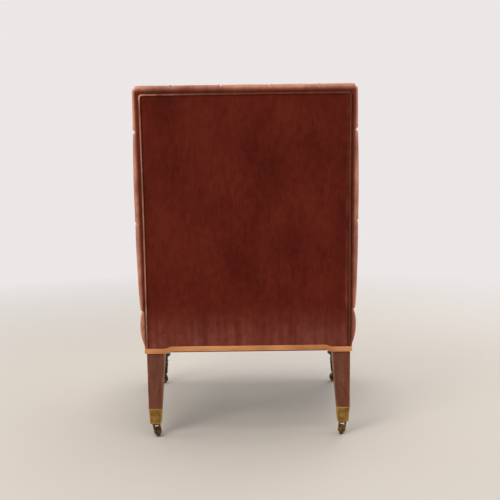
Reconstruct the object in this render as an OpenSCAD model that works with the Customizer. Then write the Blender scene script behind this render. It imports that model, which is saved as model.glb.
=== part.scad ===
// Slipper chair: a low sprung seat, a raked deep buttoned back with a plain outside panel,
// square tapered rear legs, turned front legs and four brass castors.
// The floor is z = 0 and the sitter faces -Y, so the sitter's left hand is at +X.

/* [Seat frame] */
// Width over the outer faces of the rear legs
frame_rear_w = 494; // [460:1:520]
// Width over the outer faces of the front leg blocks
frame_front_w = 538; // [500:1:570]
// Depth from the face of the front rail to the back faces of the rear legs
frame_depth = 494; // [460:1:540]
// Height of the lower edges of the rails above the floor
rail_bottom_z = 208; // [205:1:215]
// Height of the seat rails
rail_h = 80; // [70:1:84]
// Thickness of the seat rails
rail_t = 26; // [20:1:30]
// Rounding of the outer front corners
frame_corner_r = 14; // [8:1:20]
// Length of a corner brace along the rail, beyond the leg
brace_run = 36; // [28:1:44]
// Height of a corner brace
brace_h = 40; // [30:1:50]
// Space between a corner brace and the corner of its leg
brace_clear = 18; // [12:1:24]
// Radius of a beech dowel
dowel_r = 5; // [4:0.5:6]
// How far a dowel goes into each piece
dowel_reach = 18; // [12:1:20]
// Distance between the two dowels of a joint
dowel_gap = 44; // [34:1:50]

/* [Rear legs and uprights] */
// Height where the bare show wood of the legs begins
leg_bare_z = 202; // [196:1:204]
// Side of a rear leg at the seat
rear_leg_top = 44; // [38:1:48]
// Side of a rear leg just above its castor cup
rear_leg_foot = 32; // [28:0.5:34]
// How far a rear foot stands behind the top of its leg
rear_leg_kick = 32; // [20:1:45]
// How far a rear foot stands outside the top of its leg
rear_leg_splay = 2.5; // [0:0.5:5]
// Height of the top of the uprights
upright_top_z = 822; // [790:1:840]
// Width of an upright at its top
upright_top_w = 32; // [26:1:38]
// Depth of an upright at its top
upright_top_d = 30; // [24:1:36]
// How far the outer face of an upright moves inwards on its way up
upright_lean_in = 6; // [0:1:12]
// Angle of the back from the vertical
back_rake = 9; // [5:0.5:12]
// Height of the top rail of the back
top_rail_h = 50; // [36:1:60]
// Height of the lower rail of the back
lower_rail_h = 40; // [30:1:50]
// Height of the lower edge of the lower rail above the seat rails
lower_rail_lift = 42; // [30:1:60]
// Thickness of the top and lower rails of the back
back_rail_t = 22; // [18:1:26]

/* [Front legs] */
// Side of the square block at the top of a front leg
front_block = 44; // [38:1:50]
// Radius of the collar above a front castor
collar_r = 22.5; // [20:0.5:26]
// Height of that collar
collar_h = 11; // [8:0.5:14]
// Height of the neck between the collar and the cup
collar_neck_h = 13; // [8:0.5:18]

/* [Castors] */
// Height of the underside of a castor cup above the floor
cup_z = 32; // [31:0.5:36]
// Height of a castor cup
cup_h = 37; // [32:1:40]
// Side of a rear cup at its top
cup_top_side = 32; // [30:0.5:34]
// Side of a rear cup at its foot
cup_foot_side = 26; // [24:0.5:28]
// Radius of a front cup at its top
round_cup_top_r = 14.5; // [13:0.5:16]
// Radius of a front cup at its foot
round_cup_foot_r = 12.5; // [11:0.5:14]
// Height of the rim bead of a front cup
cup_bead_h = 3; // [2:0.5:5]
// How far that bead stands proud
cup_bead_out = 1.2; // [0.5:0.1:2]
// Wall of a castor cup
cup_wall = 1.6; // [1.2:0.1:2]
// Floor of a castor cup
cup_floor = 5; // [4:0.5:6]
// Radius of the pin that a castor turns on
pintle_r = 3.5; // [3:0.1:4]
// Radius of the riveted head of that pin
rivet_head_r = 6; // [5:0.5:7]
// Height of that head
rivet_head_h = 2; // [1.5:0.1:2.5]
// Radius of a castor wheel
wheel_r = 12; // [10:0.5:12.5]
// Width of a castor wheel at its hub
wheel_w = 11; // [9:0.5:13]
// Radius of the wheel's hub
wheel_hub_r = 5; // [4:0.5:6]
// How far the web of a wheel is sunk on each side
wheel_web_sink = 2.4; // [1:0.1:3.5]
// Width of the rim of a wheel, measured inwards
wheel_rim = 3.6; // [2.5:0.1:5]
// Rounding of the tread's edges
tread_r = 2.2; // [1:0.1:3]
// Radius of a wheel's axle pin
axle_r = 2; // [1.5:0.1:2.5]
// Distance from the turning pin to the axle
castor_trail = 10; // [6:0.5:14]
// Radius of the crown plate of a castor horn
crown_r = 9.5; // [8.5:0.5:11]
// Thickness of that crown plate
crown_t = 4.2; // [3:0.1:5]
// Thickness of each cheek of a castor horn
cheek_t = 2.4; // [1.8:0.1:3]
// Radius of a cheek around the axle
cheek_eye_r = 5; // [4:0.1:6]
// Height of an axle pin's rivet beyond its cheek
axle_rivet_h = 0.8; // [0.4:0.1:1.5]
// Space on each side of a wheel
wheel_side_gap = 0.5; // [0.3:0.1:1]
// Direction in which the rear left castor trails
rear_left_turn = 116; // [0:1:359]
// Direction in which the rear right castor trails
rear_right_turn = 70; // [0:1:359]
// Direction in which the front left castor trails
front_left_turn = 250; // [0:1:359]
// Direction in which the front right castor trails
front_right_turn = 307; // [0:1:359]
// Radius of the head of a castor screw
screw_head_r = 2.4; // [1.8:0.1:3]
// Radius of the shank of a castor screw
screw_r = 1.4; // [1:0.1:1.8]
// Length of a castor screw
screw_l = 11; // [8:0.5:12]

/* [Seat] */
// Height of the crown of the seat
seat_crown_z = 380; // [366:1:395]
// Height where the seat cover's sides meet the back
seat_side_z = 310; // [306:1:318]
// Thickness of the velvet covers with their lining
cover_t = 3; // [2:0.1:4]
// How far the sides of the seat swell
seat_swell = 8; // [4:0.5:12]
// How far the crown of the seat is drawn in at its rounded edge
seat_edge_in = 44; // [30:1:60]
// Number of springs across and along the seat
spring_rows = 3; // [2:1:3]
// Space between the outer springs and the side rails
spring_side_gap = 65; // [60:1:80]
// Space between the front springs and the front rail
spring_front_gap = 64; // [58:1:80]
// Space between the rear springs and the back rail
spring_rear_gap = 80; // [76:1:90]
// Outer radius of a spring at its ends
spring_end_r = 34; // [28:1:38]
// Outer radius of a spring at its waist
spring_waist_r = 24; // [18:1:28]
// Radius of the spring wire
spring_wire_r = 1.9; // [1.4:0.1:2.2]
// Turns of a spring
spring_turns = 4; // [3:1:5]
// Height of the seat springs as tied down
spring_h = 110; // [104:1:118]
// Width of the jute webbing
web_w = 50; // [40:1:56]
// Thickness of the jute webbing
web_t = 1.8; // [1.2:0.1:2]
// Thickness of the hessian over the springs and on the back
hessian_t = 1.6; // [1:0.1:2.5]
// Thickness of the canvas under the seat
canvas_t = 1; // [0.6:0.1:1.2]
// Radius of a tack's head
tack_head_r = 3.4; // [2.5:0.1:4]
// Thickness of a tack's head
tack_head_h = 0.8; // [0.5:0.1:1]
// Radius of a tack's shank
tack_r = 0.9; // [0.6:0.1:1.2]
// Length of a tack
tack_l = 12; // [9:0.5:16]

/* [Buttoned back] */
// How far the bulging sides of the back stand outside the uprights
back_side_out = 13; // [8:1:20]
// How much further the sides of the back belly out half way up
back_belly = 6.5; // [0:0.5:10]
// Height of the top of the back
back_top_z = 845; // [838:1:860]
// Depth from the back plane to the crowns between the buttons
back_depth = 117; // [110:1:125]
// How deep the folds lie below those crowns
fold_depth = 24; // [14:1:28]
// How much deeper the buttons lie than the folds
button_sink = 8; // [4:1:12]
// How far the front edges are drawn in by their rounding
shoulder_in = 24; // [18:1:30]
// Depth of the pleat notches along the sides and the top
edge_notch = 5; // [2:0.5:8]
// Distance between buttons across a row
button_pitch = 111; // [100:1:118]
// Distance between the two rows above each other that stand in line
button_rise = 213; // [190:1:230]
// Distance from the top of the back to the top row of buttons
button_drop = 106; // [95:1:120]
// Depth of the first stuffing, from the back plane
first_pad_depth = 78; // [70:1:80]
// Radius of a covered button
button_r = 9; // [7:0.5:11]
// Thickness of a covered button
button_t = 6; // [4:0.5:8]
// Radius of the twine that holds a button
twine_r = 0.9; // [0.6:0.1:1.2]
// Radius of the piping round the outside back
piping_r = 2.6; // [2:0.1:3.2]
// Radius of the piping's turn at the top corners
piping_turn_r = 7; // [5:0.5:14]
// Thickness of the outside back panel
panel_t = 2.5; // [1.5:0.1:3]

/* [Braid] */
// Width of the gimp braid
gimp_w = 12.5; // [10:0.5:15]
// Thickness of the gimp braid
gimp_t = 1.6; // [1.2:0.1:3]
// How much higher the braid runs between the legs
gimp_step = 5; // [3:0.5:6]
// Length of the slope where the braid steps up
gimp_slope = 18; // [10:1:26]

/* [Hidden] */
$fn = 48;
// Running clearance of a pin in its bore
running_gap = 0.05;
// Clearance between pieces that only lie beside each other
fit_gap = 0.1;
// Clearance between soft pieces and what is beside them
soft_gap = 0.3;
// How far every cut runs past what it cuts
overrun = 20;
// Space between the covers and the frame
cover_gap = 0.5;
// How far the rear rims of the covers stand outside the uprights
rim_out = 3;
// Free height over a castor pin's riveted head
rivet_clear = 1.2;
// Space between a castor horn and its cup
horn_gap = 0.2;
// Edge distance of webbing and canvas from the outer faces of the rails
web_inset = 5;
// Distance from the spring tops to the edge of the hessian's upper face
hessian_margin = 7;
// How far the seat's rounded top starts inside its side walls
crown_dip = 10;
// Straps across and along the seat, and up and across the back
seat_straps_x = 4;
seat_straps_y = 4;
back_straps_up = 3;
back_straps_across = 4;
// How far the back's crossing straps press into each other, as a share of their thickness
strap_press_share = 0.15;
// Smallest step of the back's grid beside its edge
grid_edge = 10;
// Height over which the folds fade out behind the seat
fade_h = 40;
// Sides of a swept tube and rings in one spring turn
tube_sides = 6;
piping_sides = 8;
rings_per_turn = 8;
// Shape of the back's side wall: how much of the swell and of the depth each ring has
wall_swell_shares = [0, 0.7, 1, 1, 0.62];
wall_depth_shares = [0, 0.12, 0.33, 0.6, 0.79];
shoulder_depth_share = 0.875;
// Shape of the seat's side walls: swell and height
side_swell_shares = [0, 0, 0.62, 1, 0.9, 0.5];
side_height_shares = [0, 0.13, 0.28, 0.53, 0.8, 1];
// Shape of the seat's rounded edge: how far in and how high each ring lies
crown_in_shares = [0, -0.08, -0.04, 0.1, 0.32, 0.8, 1.7, 3, 4.4];
crown_height_shares = [0, 0.22, 0.45, 0.62, 0.74, 0.85, 0.93, 0.98, 1];
// Turned front leg from the block down to the collar, as shares of its height and half width
turning_height_shares = [0, 0.03, 0.07, 0.1, 0.13, 0.18, 0.23, 0.27, 0.3, 0.34, 0.4, 0.6, 0.85, 1];
turning_radius_shares = [0.9, 0.98, 0.96, 0.78, 0.76, 0.97, 0.99, 0.9, 0.76, 0.9, 0.95, 0.83, 0.68, 0.62];

rail_top_z = rail_bottom_z + rail_h;
cup_top_z = cup_z + cup_h;
// Distances between springs, and their middle row, from the rails around them
spring_pitch_x = (frame_rear_w - (rail_t + spring_side_gap + spring_end_r) * 2) / (spring_rows - 1);
spring_pitch_y = (frame_depth - (rail_t + spring_end_r) * 2 - spring_front_gap - spring_rear_gap) / (spring_rows - 1);
spring_mid_y = rail_t + spring_rear_gap + spring_end_r + spring_pitch_y * (spring_rows - 1) / 2;
foot_end_z = cup_z + cup_floor + horn_gap + rivet_head_h + rivet_clear;
rear_foot_x = frame_rear_w / 2 - rear_leg_top / 2 + rear_leg_splay;
rear_foot_y = rear_leg_kick - rear_leg_top / 2;
front_leg_x = frame_front_w / 2 - front_block / 2;
front_leg_y = front_block / 2 - frame_depth;
back_top_y = rear_plane(upright_top_z) + panel_t + piping_r;
seat_front_y = -(frame_depth + rim_out + seat_swell + rim_out);
// The origin is under the middle of the chair's box
centre_y = -(back_top_y + seat_front_y) / 2;
pad_bottom_z = seat_side_z + soft_gap;
seat_back_depth = back_depth * shoulder_depth_share;
back_mid_x = frame_rear_w / 2 + back_side_out;
grid_x = button_pitch / 8;
grid_z = button_rise / 8;
top_button_z = back_top_z - button_drop;
front_half = back_mid_x - shoulder_in;
front_top_z = back_top_z - shoulder_in;
edge_button_x = button_pitch * 1.5;

function lerp(a, b, t) = a + (b - a) * t;
function unit(v) = v / norm(v);

// Back plane of the chair at a height, and a point at a depth in front of it
function rear_plane(z) = (z - leg_bare_z) * tan(back_rake);
function back_point(x, q, z) = [x, rear_plane(z) - q, z];
// Outer half width, width and depth of the uprights at a height
function up_share(z) = (z - leg_bare_z) / (upright_top_z - leg_bare_z);
function upright_x(z) = frame_rear_w / 2 - upright_lean_in * up_share(z);
function upright_w(z) = lerp(rear_leg_top, upright_top_w, up_share(z));
function upright_d(z) = lerp(rear_leg_top, upright_top_d, up_share(z));
// Half width of the seat frame at a depth
function frame_x(y) = lerp(frame_rear_w, frame_front_w, -y / frame_depth) / 2;
function cup_side(z) = lerp(cup_foot_side, cup_top_side, (z - cup_z) / cup_h);
function round_cup_r(z) = lerp(round_cup_foot_r, round_cup_top_r, (z - cup_z) / cup_h);

// Outline of the seat frame moved outwards, from the middle of the front to the rear, counter-clockwise
function corner_arc(out) = [for (a = [-90:22.5:0])
    [frame_x(-frame_depth) - frame_corner_r + (frame_corner_r + out) * cos(a),
     frame_corner_r - frame_depth + (frame_corner_r + out) * sin(a)]];
function right_outline(out, rear_y) = concat(
    [[front_leg_x - front_block / 2 - gimp_slope, -frame_depth - out],
     [front_leg_x - front_block / 2, -frame_depth - out]],
    corner_arc(out),
    [for (y = [front_block - frame_depth, front_block + gimp_slope - frame_depth,
               -frame_depth / 2, -rear_leg_top - gimp_slope, -rear_leg_top])
        if (y < rear_y) [frame_x(y) + out, y]],
    [[frame_x(rear_y) + out, rear_y]]
);
function flip(points) = [for (i = [len(points) - 1:-1:0]) [-points[i][0], points[i][1]]];
function seat_outline(out, rear_y) = concat(right_outline(out, rear_y), flip(right_outline(out, rear_y)));
function lift(points, z) = [for (p = points) [p[0], p[1], z]];

// Solid through a stack of rings, bottom ring first, each ring counter-clockwise from above,
// closed at both ends by a fan about the ring's middle
function ring_middle(r) = [for (k = [0:2]) [for (p = r) 1] * [for (p = r) p[k]] / len(r)];
module loft(rings) {
    n = len(rings[0]);
    m = len(rings);
    polyhedron(
        points = concat([for (r = rings, p = r) p], [ring_middle(rings[0]), ring_middle(rings[m - 1])]),
        faces = [for (i = [0:m], j = [0:n - 1])
            let (next = (j + 1) % n, low = i * n, up = low - n)
            each i == 0 ? [[m * n, j, next]] :
                i == m ? [[m * n + 1, up + next, up + j]] :
                [[up + j, low + j, low + next], [up + j, low + next, up + next]]]);
}
function box_ring(x0, x1, y0, y1, z) = [[x0, y0, z], [x1, y0, z], [x1, y1, z], [x0, y1, z]];

// A round tube swept along points, with its rings turned about a direction
function path_dir(path, i) = unit(path[min(i + 1, len(path) - 1)] - path[max(i - 1, 0)]);
function tube_ring(p, t, ref, r, sides) =
    let (n = unit(cross(t, ref)), b = cross(t, n))
    [for (s = [0:sides - 1]) p + r * (cos(360 * s / sides) * n + sin(360 * s / sides) * b)];
module tube(path, r, sides, ref) {
    loft([for (i = [0:len(path) - 1]) tube_ring(path[i], path_dir(path, i), ref, r, sides)]);
}

// A slab parallel to the back, its depth measured from the back plane
module back_slab(x_low, x_high, z_low, z_high, q_low, q_high) {
    loft([for (z = [z_low, z_high])
        [back_point(x_low(z), q_high(z), z), back_point(x_high(z), q_high(z), z),
         back_point(x_high(z), q_low(z), z), back_point(x_low(z), q_low(z), z)]]);
}

// Rear legs, each in one piece with the upright of the back
module rear_leg(side) {
    top_x = frame_rear_w / 2 - rear_leg_top / 2;
    in_cup = cup_side(foot_end_z) / 2 - cup_wall - fit_gap;
    at_rim = cup_side(cup_top_z) / 2 - cup_wall - fit_gap;
    foot = rear_leg_foot / 2;
    rings = [
        box_ring(rear_foot_x - in_cup, rear_foot_x + in_cup,
            rear_foot_y - in_cup, rear_foot_y + in_cup, foot_end_z),
        box_ring(rear_foot_x - at_rim, rear_foot_x + at_rim,
            rear_foot_y - at_rim, rear_foot_y + at_rim, cup_top_z),
        box_ring(rear_foot_x - foot, rear_foot_x + foot,
            rear_foot_y - foot, rear_foot_y + foot, cup_top_z),
        box_ring(top_x - rear_leg_top / 2, top_x + rear_leg_top / 2, -rear_leg_top, 0, leg_bare_z),
        box_ring(upright_x(upright_top_z) - upright_top_w, upright_x(upright_top_z),
            rear_plane(upright_top_z) - upright_top_d, rear_plane(upright_top_z), upright_top_z)
    ];
    color([0.39, 0.21, 0.14])
        mirror([side < 0 ? 1 : 0, 0, 0]) loft(rings);
}

// Turned front legs with the square block that the rails join
module front_leg(side) {
    collar_top_z = cup_top_z + collar_neck_h + collar_h;
    turned_h = leg_bare_z - collar_top_z;
    r = front_block / 2;
    neck_r = round_cup_r(cup_top_z);
    end_r = neck_r - cup_wall - fit_gap;
    low_r = round_cup_r(foot_end_z) - cup_wall - fit_gap;
    outline = concat(
        [[0, foot_end_z], [low_r, foot_end_z], [end_r, cup_top_z], [neck_r, cup_top_z],
         [neck_r, cup_top_z + collar_neck_h]],
        [for (a = [-60:30:60])
            [collar_r + collar_h / 2 * (cos(a) - 1), collar_top_z + collar_h / 2 * (sin(a) - 1)]],
        [for (i = [len(turning_height_shares) - 1:-1:0])
            [r * turning_radius_shares[i], leg_bare_z - turned_h * turning_height_shares[i]]],
        [[0, leg_bare_z]]
    );
    block = concat(
        [[front_leg_x - r, -frame_depth]],
        corner_arc(0),
        [[frame_x(front_block - frame_depth), front_block - frame_depth],
         [front_leg_x - r, front_block - frame_depth]]
    );
    color([0.2, 0.12, 0.08])
        mirror([side < 0 ? 1 : 0, 0, 0])
            union() {
                translate([front_leg_x, front_leg_y, 0]) rotate_extrude() polygon(outline);
                translate([0, 0, leg_bare_z]) linear_extrude(rail_top_z - leg_bare_z) polygon(block);
            }
}

// Beech seat rails between the legs
module plan_bar(points, z, h) {
    color([0.78, 0.62, 0.42])
        translate([0, 0, z]) linear_extrude(h) polygon(points);
}
module front_rail() {
    x = front_leg_x - front_block / 2;
    plan_bar([[-x, -frame_depth], [x, -frame_depth], [x, rail_t - frame_depth], [-x, rail_t - frame_depth]],
        rail_bottom_z, rail_h);
}
module back_rail() {
    x = frame_rear_w / 2 - rear_leg_top;
    plan_bar([[-x, -rail_t], [x, -rail_t], [x, 0], [-x, 0]], rail_bottom_z, rail_h);
}
module side_rail(side) {
    y0 = front_block - frame_depth;
    y1 = -rear_leg_top;
    mirror([side < 0 ? 1 : 0, 0, 0])
        plan_bar([[frame_x(y0), y0], [frame_x(y1), y1], [frame_x(y1) - rail_t, y1], [frame_x(y0) - rail_t, y0]],
            rail_bottom_z, rail_h);
}

// Diagonal braces that clear the legs' inner corners
module corner_braces() {
    front_x = front_leg_x - front_block / 2;
    front_y = front_block - frame_depth;
    rear_x = frame_rear_w / 2 - rear_leg_top;
    for (m = [0, 1])
        mirror([m, 0, 0]) {
            plan_bar([
                [front_x - brace_clear - brace_run, rail_t - frame_depth],
                [front_x - brace_clear, rail_t - frame_depth],
                [frame_x(front_y + brace_clear) - rail_t, front_y + brace_clear],
                [frame_x(front_y + brace_clear + brace_run) - rail_t, front_y + brace_clear + brace_run]],
                rail_bottom_z + (rail_h - brace_h) / 2, brace_h);
            plan_bar([
                [rear_x - brace_clear, -rail_t],
                [rear_x - brace_clear - brace_run, -rail_t],
                [frame_x(-rear_leg_top - brace_clear - brace_run) - rail_t, -rear_leg_top - brace_clear - brace_run],
                [frame_x(-rear_leg_top - brace_clear) - rail_t, -rear_leg_top - brace_clear]],
                rail_bottom_z + (rail_h - brace_h) / 2, brace_h);
        }
}

// Dowels, in pairs at the seat rails and single at the back's rails
module dowel_x(x, y, z) {
    translate([x - dowel_reach, y, z]) rotate([0, 90, 0]) cylinder(r = dowel_r, h = dowel_reach * 2);
}
module dowel_y(x, y, z) {
    translate([x, y + dowel_reach, z]) rotate([90, 0, 0]) cylinder(r = dowel_r, h = dowel_reach * 2);
}
module frame_dowels() {
    mid_z = rail_bottom_z + rail_h / 2;
    color([0.82, 0.68, 0.5])
        for (m = [0, 1])
            mirror([m, 0, 0]) {
                for (z = [mid_z - dowel_gap / 2, mid_z + dowel_gap / 2]) {
                    dowel_x(frame_rear_w / 2 - rear_leg_top, -rail_t / 2, z);
                    dowel_x(front_leg_x - front_block / 2, rail_t / 2 - frame_depth, z);
                    dowel_y(frame_x(-rear_leg_top) - rail_t / 2, -rear_leg_top, z);
                    dowel_y(frame_x(front_block - frame_depth) - rail_t / 2, front_block - frame_depth, z);
                }
                for (z = [back_rail_mid(lower_rail_low(), lower_rail_h), back_rail_mid(top_rail_low(), top_rail_h)])
                    dowel_x(upright_x(z) - upright_w(z), rear_plane(z) - back_rail_set(z) - back_rail_t / 2, z);
            }
}

// Rails of the back between the uprights, flush with the uprights' front faces
function top_rail_low() = upright_top_z - top_rail_h;
function lower_rail_low() = rail_top_z + lower_rail_lift;
function back_rail_mid(z, h) = z + h / 2;
function back_rail_set(z) = upright_d(z) - back_rail_t;
module back_member(z, h) {
    color([0.78, 0.62, 0.42])
        back_slab(
            function (v) -upright_x(v) + upright_w(v), function (v) upright_x(v) - upright_w(v), z, z + h,
            function (v) back_rail_set(v), function (v) upright_d(v));
}
module back_top_rail() {
    back_member(top_rail_low(), top_rail_h);
}
module back_lower_rail() {
    back_member(lower_rail_low(), lower_rail_h);
}

// Interlaced webbing, as straps from front to back over straps from side to side
module seat_webbing() {
    x_step = (frame_rear_w - rear_leg_top * 2 - web_inset * 2) / seat_straps_x;
    y_low = front_block - frame_depth;
    y_step = (-rear_leg_top - y_low) / seat_straps_y;
    color([0.72, 0.6, 0.4])
        union() {
            for (i = [0:seat_straps_x - 1])
                translate([(i - (seat_straps_x - 1) / 2) * x_step - web_w / 2, web_inset - frame_depth,
                           rail_bottom_z - web_t])
                    cube([web_w, frame_depth - web_inset * 2, web_t]);
            for (j = [0:seat_straps_y - 1]) {
                y = y_low + (j + 0.5) * y_step;
                x = frame_x(y + web_w / 2) - web_inset;
                translate([-x, y - web_w / 2, rail_bottom_z - web_t * 2]) cube([x * 2, web_w, web_t]);
            }
        }
}

// Tacks that fasten the strap ends, three to an end
module tack(x, y, z) {
    translate([x, y, z]) cylinder(r = tack_head_r, h = tack_head_h);
    translate([x, y, z]) cylinder(r = tack_r, h = tack_l);
}
module webbing_tacks() {
    x_step = (frame_rear_w - rear_leg_top * 2 - web_inset * 2) / seat_straps_x;
    y_low = front_block - frame_depth;
    y_step = (-rear_leg_top - y_low) / seat_straps_y;
    z_up = rail_bottom_z - web_t - tack_head_h;
    z_across = z_up - web_t;
    color([0.2, 0.22, 0.28])
        for (k = [-1, 0, 1]) {
            for (i = [0:seat_straps_x - 1], y = [rail_t / 2 - frame_depth, -rail_t / 2])
                tack((i - (seat_straps_x - 1) / 2) * x_step + k * web_w / 3, y, z_up);
            for (j = [0:seat_straps_y - 1], s = [-1, 1]) {
                y = y_low + (j + 0.5) * y_step + k * web_w / 3;
                tack(s * (frame_x(y) - rail_t / 2), y, z_across);
            }
        }
}

// Coil springs, wider at both ends than at the waist
module spring(x, y) {
    steps = spring_turns * rings_per_turn;
    foot = rail_bottom_z + spring_wire_r;
    path = [for (i = [0:steps])
        let (t = i / steps, r = lerp(spring_waist_r, spring_end_r, pow(2 * t - 1, 2)) - spring_wire_r,
             a = 360 * i / rings_per_turn)
        [x + r * cos(a), y + r * sin(a), foot + (spring_h - spring_wire_r * 2) * spring_rise(t)]];
    tube(path, spring_wire_r, tube_sides, [0, 0, 1]);
}
// The end turns of a spring lie nearly flat
function spring_rise(t) = lerp(t, t * t * (3 - 2 * t), 0.35);
module seat_springs() {
    color([0.35, 0.33, 0.31])
        for (i = [0:spring_rows - 1], j = [0:spring_rows - 1])
            spring((i - (spring_rows - 1) / 2) * spring_pitch_x,
                (j - (spring_rows - 1) / 2) * spring_pitch_y - spring_mid_y);
}

// Hessian tied down over the springs to the tops of the rails
function spring_reach(pitch) = (spring_rows - 1) / 2 * pitch + spring_end_r + hessian_margin;
module hessian_block(down, low) {
    base_z = rail_top_z - down;
    top_z = rail_bottom_z + spring_h + hessian_t - down;
    base_x = frame_x(0) - rail_t - down;
    top_x = spring_reach(spring_pitch_x) - down;
    top_y = -spring_mid_y - spring_reach(spring_pitch_y) + down;
    loft([for (z = [low, top_z])
        let (t = (z - base_z) / (top_z - base_z), x = lerp(base_x, top_x, t))
        box_ring(-x, x, lerp(hessian_foot_y() + down, top_y, t), hessian_rear_y() - down, z)]);
}
function hessian_foot_y() = rail_t - frame_depth;
function hessian_rear_y() = min(spring_reach(spring_pitch_y) - spring_mid_y,
    rear_plane(rail_top_z) - seat_back_depth - soft_gap - cover_t);
module spring_hessian() {
    color([0.68, 0.56, 0.38])
        difference() {
            hessian_block(0, rail_top_z);
            hessian_block(hessian_t, rail_top_z - hessian_t);
        }
}

// Plan point of the seat outline drawn in towards the middle of the seat
function drawn_in(p, s) =
    let (mid_y = (rear_plane(seat_side_z) - seat_back_depth - frame_depth) / 2,
         half_y = (rear_plane(seat_side_z) - seat_back_depth + frame_depth) / 2)
    [p[0] * (1 - s / (frame_front_w / 2)), mid_y + (p[1] - mid_y) * (1 - s / half_y)];
// Rings of the seat's rounded top, a given distance inside the outer surface
function crown_rings(inset) =
    [for (i = [0:len(crown_in_shares) - 1])
        let (z = lerp(seat_side_z, seat_crown_z, crown_height_shares[i]) - (i == 0 ? crown_dip : 0)
                - (i > 2 ? inset : 0),
             out = side_swell_shares[len(side_swell_shares) - 1] * seat_swell + rim_out - inset,
             rear = rear_plane(z) - seat_back_depth - soft_gap - inset)
        [for (p = seat_outline(out, rear_plane(seat_side_z) - seat_back_depth))
            let (q = drawn_in(p, crown_in_shares[i] * seat_edge_in))
            [q[0], min(q[1], rear), z]]];
// Rings of the seat cover's sides, which run back to the outside panel
function side_rings() =
    [for (i = [0:len(side_swell_shares) - 1])
        let (z = lerp(rail_bottom_z, seat_side_z, side_height_shares[i]))
        lift(seat_outline(rim_out + seat_swell * side_swell_shares[i], rear_plane(z)), z)];

module seat_stuffing() {
    foot = seat_outline(-fit_gap, rear_plane(rail_top_z) - seat_back_depth - soft_gap - cover_t);
    color([0.36, 0.29, 0.2])
        difference() {
            union() {
                loft([lift(foot, rail_top_z), lift(foot, seat_side_z)]);
                loft(crown_rings(cover_t));
            }
            hessian_block(0, rail_top_z - overrun);
        }
}
module seat_cover() {
    frame_hole = seat_outline(cover_gap, overrun);
    color([0.45, 0.16, 0.12])
        difference() {
            union() {
                loft(side_rings());
                loft(crown_rings(0));
            }
            translate([0, 0, rail_bottom_z - overrun])
                linear_extrude(seat_side_z - rail_bottom_z + overrun + fit_gap) polygon(frame_hole);
            loft(crown_rings(cover_t));
        }
}

// Canvas tacked under the seat, cut round the legs
module bottom_canvas() {
    z = rail_bottom_z - web_t * 2 - tack_head_h - canvas_t;
    y0 = web_inset - frame_depth;
    leg_x = front_leg_x - front_block / 2 - fit_gap;
    rear_x = frame_rear_w / 2 - rear_leg_top - fit_gap;
    right = [
        [leg_x, y0], [leg_x, front_block + fit_gap - frame_depth],
        [frame_x(front_block - frame_depth) - web_inset, front_block + fit_gap - frame_depth],
        [frame_x(-rear_leg_top) - web_inset, -rear_leg_top - fit_gap],
        [rear_x, -rear_leg_top - fit_gap], [rear_x, -web_inset]];
    color([0.12, 0.11, 0.1])
        translate([0, 0, z]) linear_extrude(canvas_t) polygon(concat(right, flip(right)));
}

// Webbing and hessian on the front faces of the uprights
module back_strip(x0, x1, z0, z1, d0, d1) {
    back_slab(function (z) x0, function (z) x1, z0, z1,
        function (z) upright_d(z) + d0, function (z) upright_d(z) + d1);
}
module back_webbing() {
    z0 = lower_rail_low() + web_inset;
    z1 = upright_top_z - web_inset;
    half = upright_x(upright_top_z) - upright_top_w;
    x_step = half * 2 / back_straps_up;
    z_step = (top_rail_low() - lower_rail_low() - lower_rail_h) / back_straps_across;
    color([0.72, 0.6, 0.4])
        union() {
            for (i = [0:back_straps_up - 1]) {
                x = (i - (back_straps_up - 1) / 2) * x_step;
                back_strip(x - web_w / 2, x + web_w / 2, z0, z1, 0, web_t);
            }
            for (j = [0:back_straps_across - 1]) {
                z = lower_rail_low() + lower_rail_h + (j + 0.5) * z_step;
                x = upright_x(upright_top_z) - web_inset;
                back_strip(-x, x, z - web_w / 2, z + web_w / 2, web_t * (1 - strap_press_share), web_t * 2);
            }
        }
}
module back_hessian() {
    x = upright_x(upright_top_z) - web_inset;
    color([0.68, 0.56, 0.38])
        back_strip(-x, x, lower_rail_low() + web_inset, upright_top_z - web_inset, web_t * 2, web_t * 2 + hessian_t);
}
// First stuffing of hair on the hessian
module back_stuffing() {
    color([0.36, 0.29, 0.2])
        back_slab(
            function (z) -upright_x(z), function (z) upright_x(z), lower_rail_low(), upright_top_z,
            function (z) upright_d(z) + web_t * 2 + hessian_t, function (z) first_pad_depth);
}

// Fullness between the folds: 0 at a fold or a button, 1 on a crown
function wave(t) = abs(sin(180 * t));
function fullness(x, z) =
    let (i = (abs(x) - edge_button_x) / button_pitch, j = (z - top_button_z) / button_rise)
    i <= 0 && j <= 0 ? sqrt(wave(i + j) * wave(i - j)) :
    i > 0 && j <= 0 ? pow(wave(j), 1 - 0.5 * min(1, i * 1.5)) :
    i <= 0 ? pow(wave(i), 1 - 0.5 * min(1, j * 2.4)) :
    sqrt(wave(i) * wave(j));
function row_places() = [for (k = [0:floor((top_button_z - seat_crown_z) / (button_rise / 2))])
    top_button_z - k * button_rise / 2];
function button_places() = [for (k = [0:len(row_places()) - 1])
    let (n = k % 2 == 0 ? 4 : 3)
    for (c = [0:n - 1]) [(c - (n - 1) / 2) * button_pitch, row_places()[k]]];
function near_button(x, z) = max([for (b = button_places()) norm([x - b[0], z - b[1]]) < button_r ? 1 : 0]);
function fade(z) = min(1, max(0, (z - seat_crown_z) / fade_h));
function face_depth(x, z) =
    lerp(back_depth * shoulder_depth_share,
        back_depth - fold_depth * (1 - fullness(x, z)) - button_sink * near_button(x, z), fade(z));

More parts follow.
